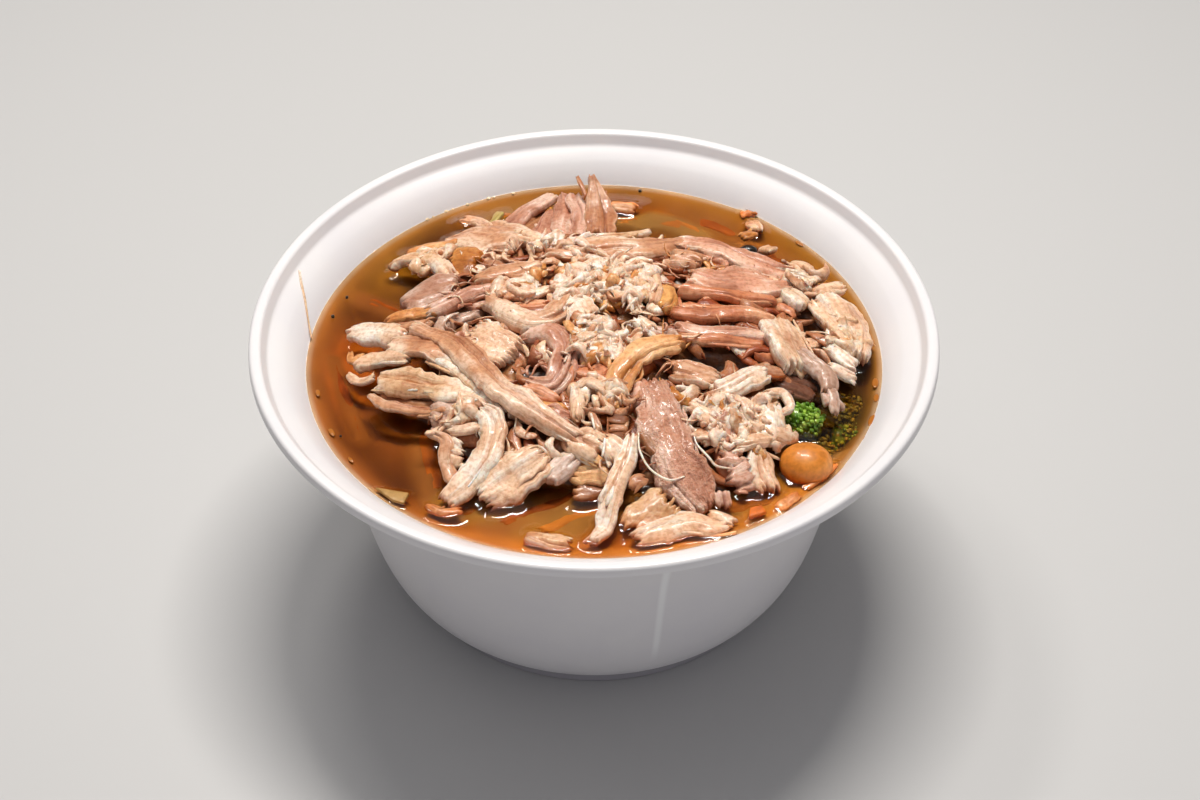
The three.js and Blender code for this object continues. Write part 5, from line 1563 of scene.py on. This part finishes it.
def clear_stock():
    """Water with gelatine and browned juices: glass surface, plain absorption in its depth."""
    material, tree, output = new_material("clear_stock")
    glass = add_node(tree, "ShaderNodeBsdfPrincipled", {
        "Base Color": rgba("#ffffff"), "Roughness": 0.02, "IOR": 1.34, "Transmission Weight": 1.0})
    clear = add_node(tree, "ShaderNodeBsdfTransparent")
    path = add_node(tree, "ShaderNodeLightPath")
    both = add_node(tree, "ShaderNodeMixShader", {
        0: path.outputs["Is Shadow Ray"], 1: glass.outputs["BSDF"], 2: clear.outputs["BSDF"]})
    depth = add_node(tree, "ShaderNodeVolumeAbsorption", {"Color": STOCK_TINT, "Density": 200.0})
    tree.links.new(both.outputs["Shader"], output.inputs["Surface"])
    tree.links.new(depth.outputs["Volume"], output.inputs["Volume"])
    return material


finish_piece(broth, clear_stock(), "broth", "broth")

# %% [markdown]
# Real stock is never quite clear: below a centimetre the haze of fat and fine meat hides the bowl's
# floor. A soft sheet of haze stands for all of it, so the depths look brown and not black. It comes up
# nearly to the surface at the wall, and round each sunken strip, so that those strips look soft.

# %% The haze in the depths
HAZE_EDGE = 0.2            # mm below the broth's surface at the wall
HAZE_EDGE_RUN = 9          # mm from the wall to the haze's own depth
HAZE_REACH = 82            # mm: beyond the wall, which then cuts it back
HAZE_DEPTH = 6.8           # mm below the level, away from all zones
HAZE_BOTTOM = 57           # mm up: where the sheet closes below
HAZE_COLOUR = "#543733"
HAZE_STEEP = 0.35          # share of that run that is missing on the right, where the depths are dark
HAZE_RIMS = [              # middle x, y, radius and colour of the haze at the wall
    (-78, 0, 26, "#84481c"), (-62, 46, 26, "#946226"), (0, 78, 30, "#865420"), (62, 46, 26, "#845418"),
    (78, 6, 18, "#986018"), (72, -28, 12, "#4c3c18"), (50, -60, 26, "#a86828"), (-10, -78, 30, "#b0682a"),
    (-56, -54, 18, "#743e1c"),
]
HAZE_FILM = "#a48a70"      # the last two millimetres, a mere film over the white wall
HAZE_ZONES = [             # middle x, y, radius, depth and colour of the haze there
    (-67, -6, 17, 4.0, "#a85e34"), (-56, -36, 16, 6.0, "#5a3628"), (-50, -30, 10, 5.0, "#7c4a30"),
    (-48, -56, 13, 5.0, "#543026"), (-12, -64, 20, 2.6, "#c06c2c"), (22, -64, 20, 2.6, "#c06c2c"),
    (46, -54, 12, 2.8, "#a8602a"), (69, -26, 15, 4.3, "#3a3620"), (70, 4, 10, 5.0, "#5e4a30"),
    (20, 68, 28, 3.8, "#8c5424"), (60, 50, 18, 3.4, "#905a24"), (-28, 66, 15, 3.2, "#9a6a40"),
    (-62, 40, 14, 4.0, "#8c6430"),
]


def haze_arrays(rows=104, columns=288):
    """Rings from the middle out: level less depth, with zones blended by exp(-(distance / radius)^2),
    then raised and coloured round each sunken strip, and turned down to close it below."""
    turn = np.linspace(0, 2 * np.pi, columns, endpoint=False)[None, :]
    t = np.linspace(0.01, 1.12, rows)[:, None]
    out = HAZE_REACH * np.minimum(t, 1)
    x, y = out * np.cos(turn), out * np.sin(turn)
    depth = np.full(x.shape, HAZE_DEPTH)
    tint = np.tile(linear(HAZE_COLOUR), (*x.shape, 1))
    for zone_x, zone_y, radius, zone_depth, colour in HAZE_ZONES:
        near = np.exp(-((x - zone_x) ** 2 + (y - zone_y) ** 2) / radius ** 2)
        depth = depth + (zone_depth - depth) * near
        tint = tint + (linear(colour) - tint) * near[..., None]
    points = np.stack([x, y, BROTH_LEVEL - depth], -1)
    height = points[..., 2] + 0.7 * noise(points, 11, 3) + 0.35 * noise(points, 5, 4)
    for width, thickness, tone, strip_points in SUNKEN:
        curve = smooth_path(strip_points, 1.5)[1]
        gap = np.hypot(x[..., None] - curve[:, 0], y[..., None] - curve[:, 1])
        near = 1 - smooth(gap.min(-1), 0.35 * width, 1.2 * width)
        shoulder = curve[gap.argmin(-1), 2] + thickness / 2 - 0.2
        height = height + np.maximum(shoulder - height, 0) * near
        tint = tint + (tone_colours([tone])[0, 0] * 0.85 - tint) * 0.85 * near[..., None]
    from_wall = BROTH_RADIUS - INTO_WALL - out
    at_right = smooth(x, 30, 62) * smooth(-y, -10, 8) * smooth(y, -52, -40)
    run = HAZE_EDGE_RUN * (1 - HAZE_STEEP * at_right)
    wall = smooth(-from_wall, -run, -0.2 * run)
    surface_height = BROTH_LEVEL - CALM_DROP + wall_height(from_wall)
    height = height + (surface_height - HAZE_EDGE - height) * wall - 100 * np.maximum(t - 1, 0)
    shares = np.stack([np.exp(-np.hypot(x - rim_x, y - rim_y) / radius)
                       for rim_x, rim_y, radius, colour in HAZE_RIMS], -1)
    rim = (shares / shares.sum(-1, keepdims=True)) @ np.array([linear(place[3]) for place in HAZE_RIMS])
    tint = tint + (rim - tint) * wall[..., None]
    tint = tint + (linear(HAZE_FILM) - tint) * (smooth(-from_wall, -2.2, 0.2) + 0 * x)[..., None]
    points = inside_wall(np.stack([x, y, height], -1).reshape(-1, 3), -0.3, ease=0)
    corners = np.concatenate([points, [[0, 0, BROTH_LEVEL - HAZE_DEPTH], [0, 0, HAZE_BOTTOM]]])
    tint = np.concatenate([tint.reshape(-1, 3), np.tile(linear(HAZE_COLOUR), (2, 1))])
    return corners, closed_quads(rows, columns)[:, ::-1], tint


haze_corners, haze_quads, haze_tint = haze_arrays()
haze_light = noise(haze_corners, 12, 8) + 0.5 * noise(haze_corners, 5, 9)
haze_tint *= 1 + 0.18 * haze_light[:, None]
haze_pile = MeatPile()
haze_pile.add(haze_corners, haze_quads, haze_tint, haze_corners[:, :2], np.zeros(len(haze_corners)))
pile_piece("settled_haze", haze_pile, material=suspended, slot="broth")

# %% [markdown]
# Last come the smallest things: specks of pepper, drops of melted fat drawn out along the wall, and a few
# bubbles. Real bubbles are hollow films; at half a millimetre a pale glossy drop reads the same, and its pale
# colour is a painted highlight.

# %% Pepper specks, fat droplets and bubbles
specks = np.array([(-24, -41, 77.5), (1.9, -29, 84.6), (-70, 23.6, 73.2), (-73.1, 15.1, 73.2),
                   (13.7, 75.4, 73.2), (-66, -34, 73.1)])
speck_radii = np.array([1.6, 1.0, 0.45, 0.5, 0.5, 0.35])
speck_pile = MeatPile()
beads(speck_pile, specks, speck_radii, ["black"] * len(specks), 71, rows=12, columns=12)
pile_piece("pepper_specks", speck_pile, material=soaked_pepper, slot="pepper")


def floating_drops(places, bulge, stretch, rows=8, columns=24):
    """Flat round drops on the broth, bulging by a share of their radius, stretched along the wall."""
    pile = MeatPile()
    level = BROTH_LEVEL + 0.1
    polar = np.linspace(0.1, np.pi - 0.1, rows)[:, None]
    turn = np.arange(columns) * 2 * np.pi / columns
    for x, y, radius in places:
        outwards = np.array([x, y]) / np.hypot(x, y)
        out = radius * np.sin(polar) * np.cos(turn)
        aside = radius * stretch * np.sin(polar) * np.sin(turn)
        height = level + bulge * radius * np.cos(polar) + 0 * out
        corners = np.stack([x + out * outwards[0] - aside * outwards[1],
                            y + out * outwards[1] + aside * outwards[0], height], -1).reshape(-1, 3)
        poles = [[x, y, level + bulge * radius], [x, y, level - bulge * radius]]
        corners = np.concatenate([corners, poles])
        blank = np.ones((len(corners), 3))
        pile.add(corners, closed_quads(rows, columns)[:, ::-1], blank, corners[:, :2], blank[:, 0])
    return pile


def glossy_film(name, colour):
    """A thin film of fat: its colour under a smooth wet surface."""
    material, tree, output = new_material(name)
    shader = add_node(tree, "ShaderNodeBsdfPrincipled", {
        "Base Color": rgba(colour), "Roughness": 0.08, "IOR": 1.46, "Coat Weight": 0.5,
        "Coat Roughness": 0.03})
    tree.links.new(shader.outputs["BSDF"], output.inputs["Surface"])
    return material


DROPLETS = [               # middle x, y and radius of each drop of fat
    (75.6, -13, 0.9), (75.2, -19, 0.7), (73.2, -28, 1.0), (70.8, -35, 0.6), (76, 2, 0.6), (-73.8, -17, 0.6),
    (-68.5, -32.5, 0.7), (-62.5, -43, 0.5), (60, 49, 0.7),
]
BUBBLES = [                # middle x, y and radius of each bubble
    (-49.8, 60.8, 0.6), (-48.2, 62.2, 0.4), (-44.4, 64.8, 0.6), (-42.6, 66.0, 0.35), (-38.2, 68.4, 0.5),
    (-32.0, 71.4, 0.6), (-30.4, 72.0, 0.4), (-24.6, 74.0, 0.5), (10.9, -57.4, 0.6), (29, -55, 0.5),
]
golden_fat = glossy_film("golden_fat", "#a8641e")
pile_piece("fat_droplets", floating_drops(DROPLETS, 0.35, 2.4), material=golden_fat, slot="broth")
# The bubbles' pale colour is a painted highlight over their real gloss.
bubble_with_painted_highlight = glossy_film("bubble_with_painted_highlight", "#e8cfa8")
pile_piece("broth_bubbles", floating_drops(BUBBLES, 0.8, 1.2), material=bubble_with_painted_highlight, slot="broth")

# %% [markdown]
# ## Finish
#
# Last, the triangles of all meshes are counted.

# %% Count the triangles and finish
total = sum(len(face.vertices) - 2 for mesh in bpy.data.meshes for face in mesh.polygons)
print(f"{total} triangles in all")
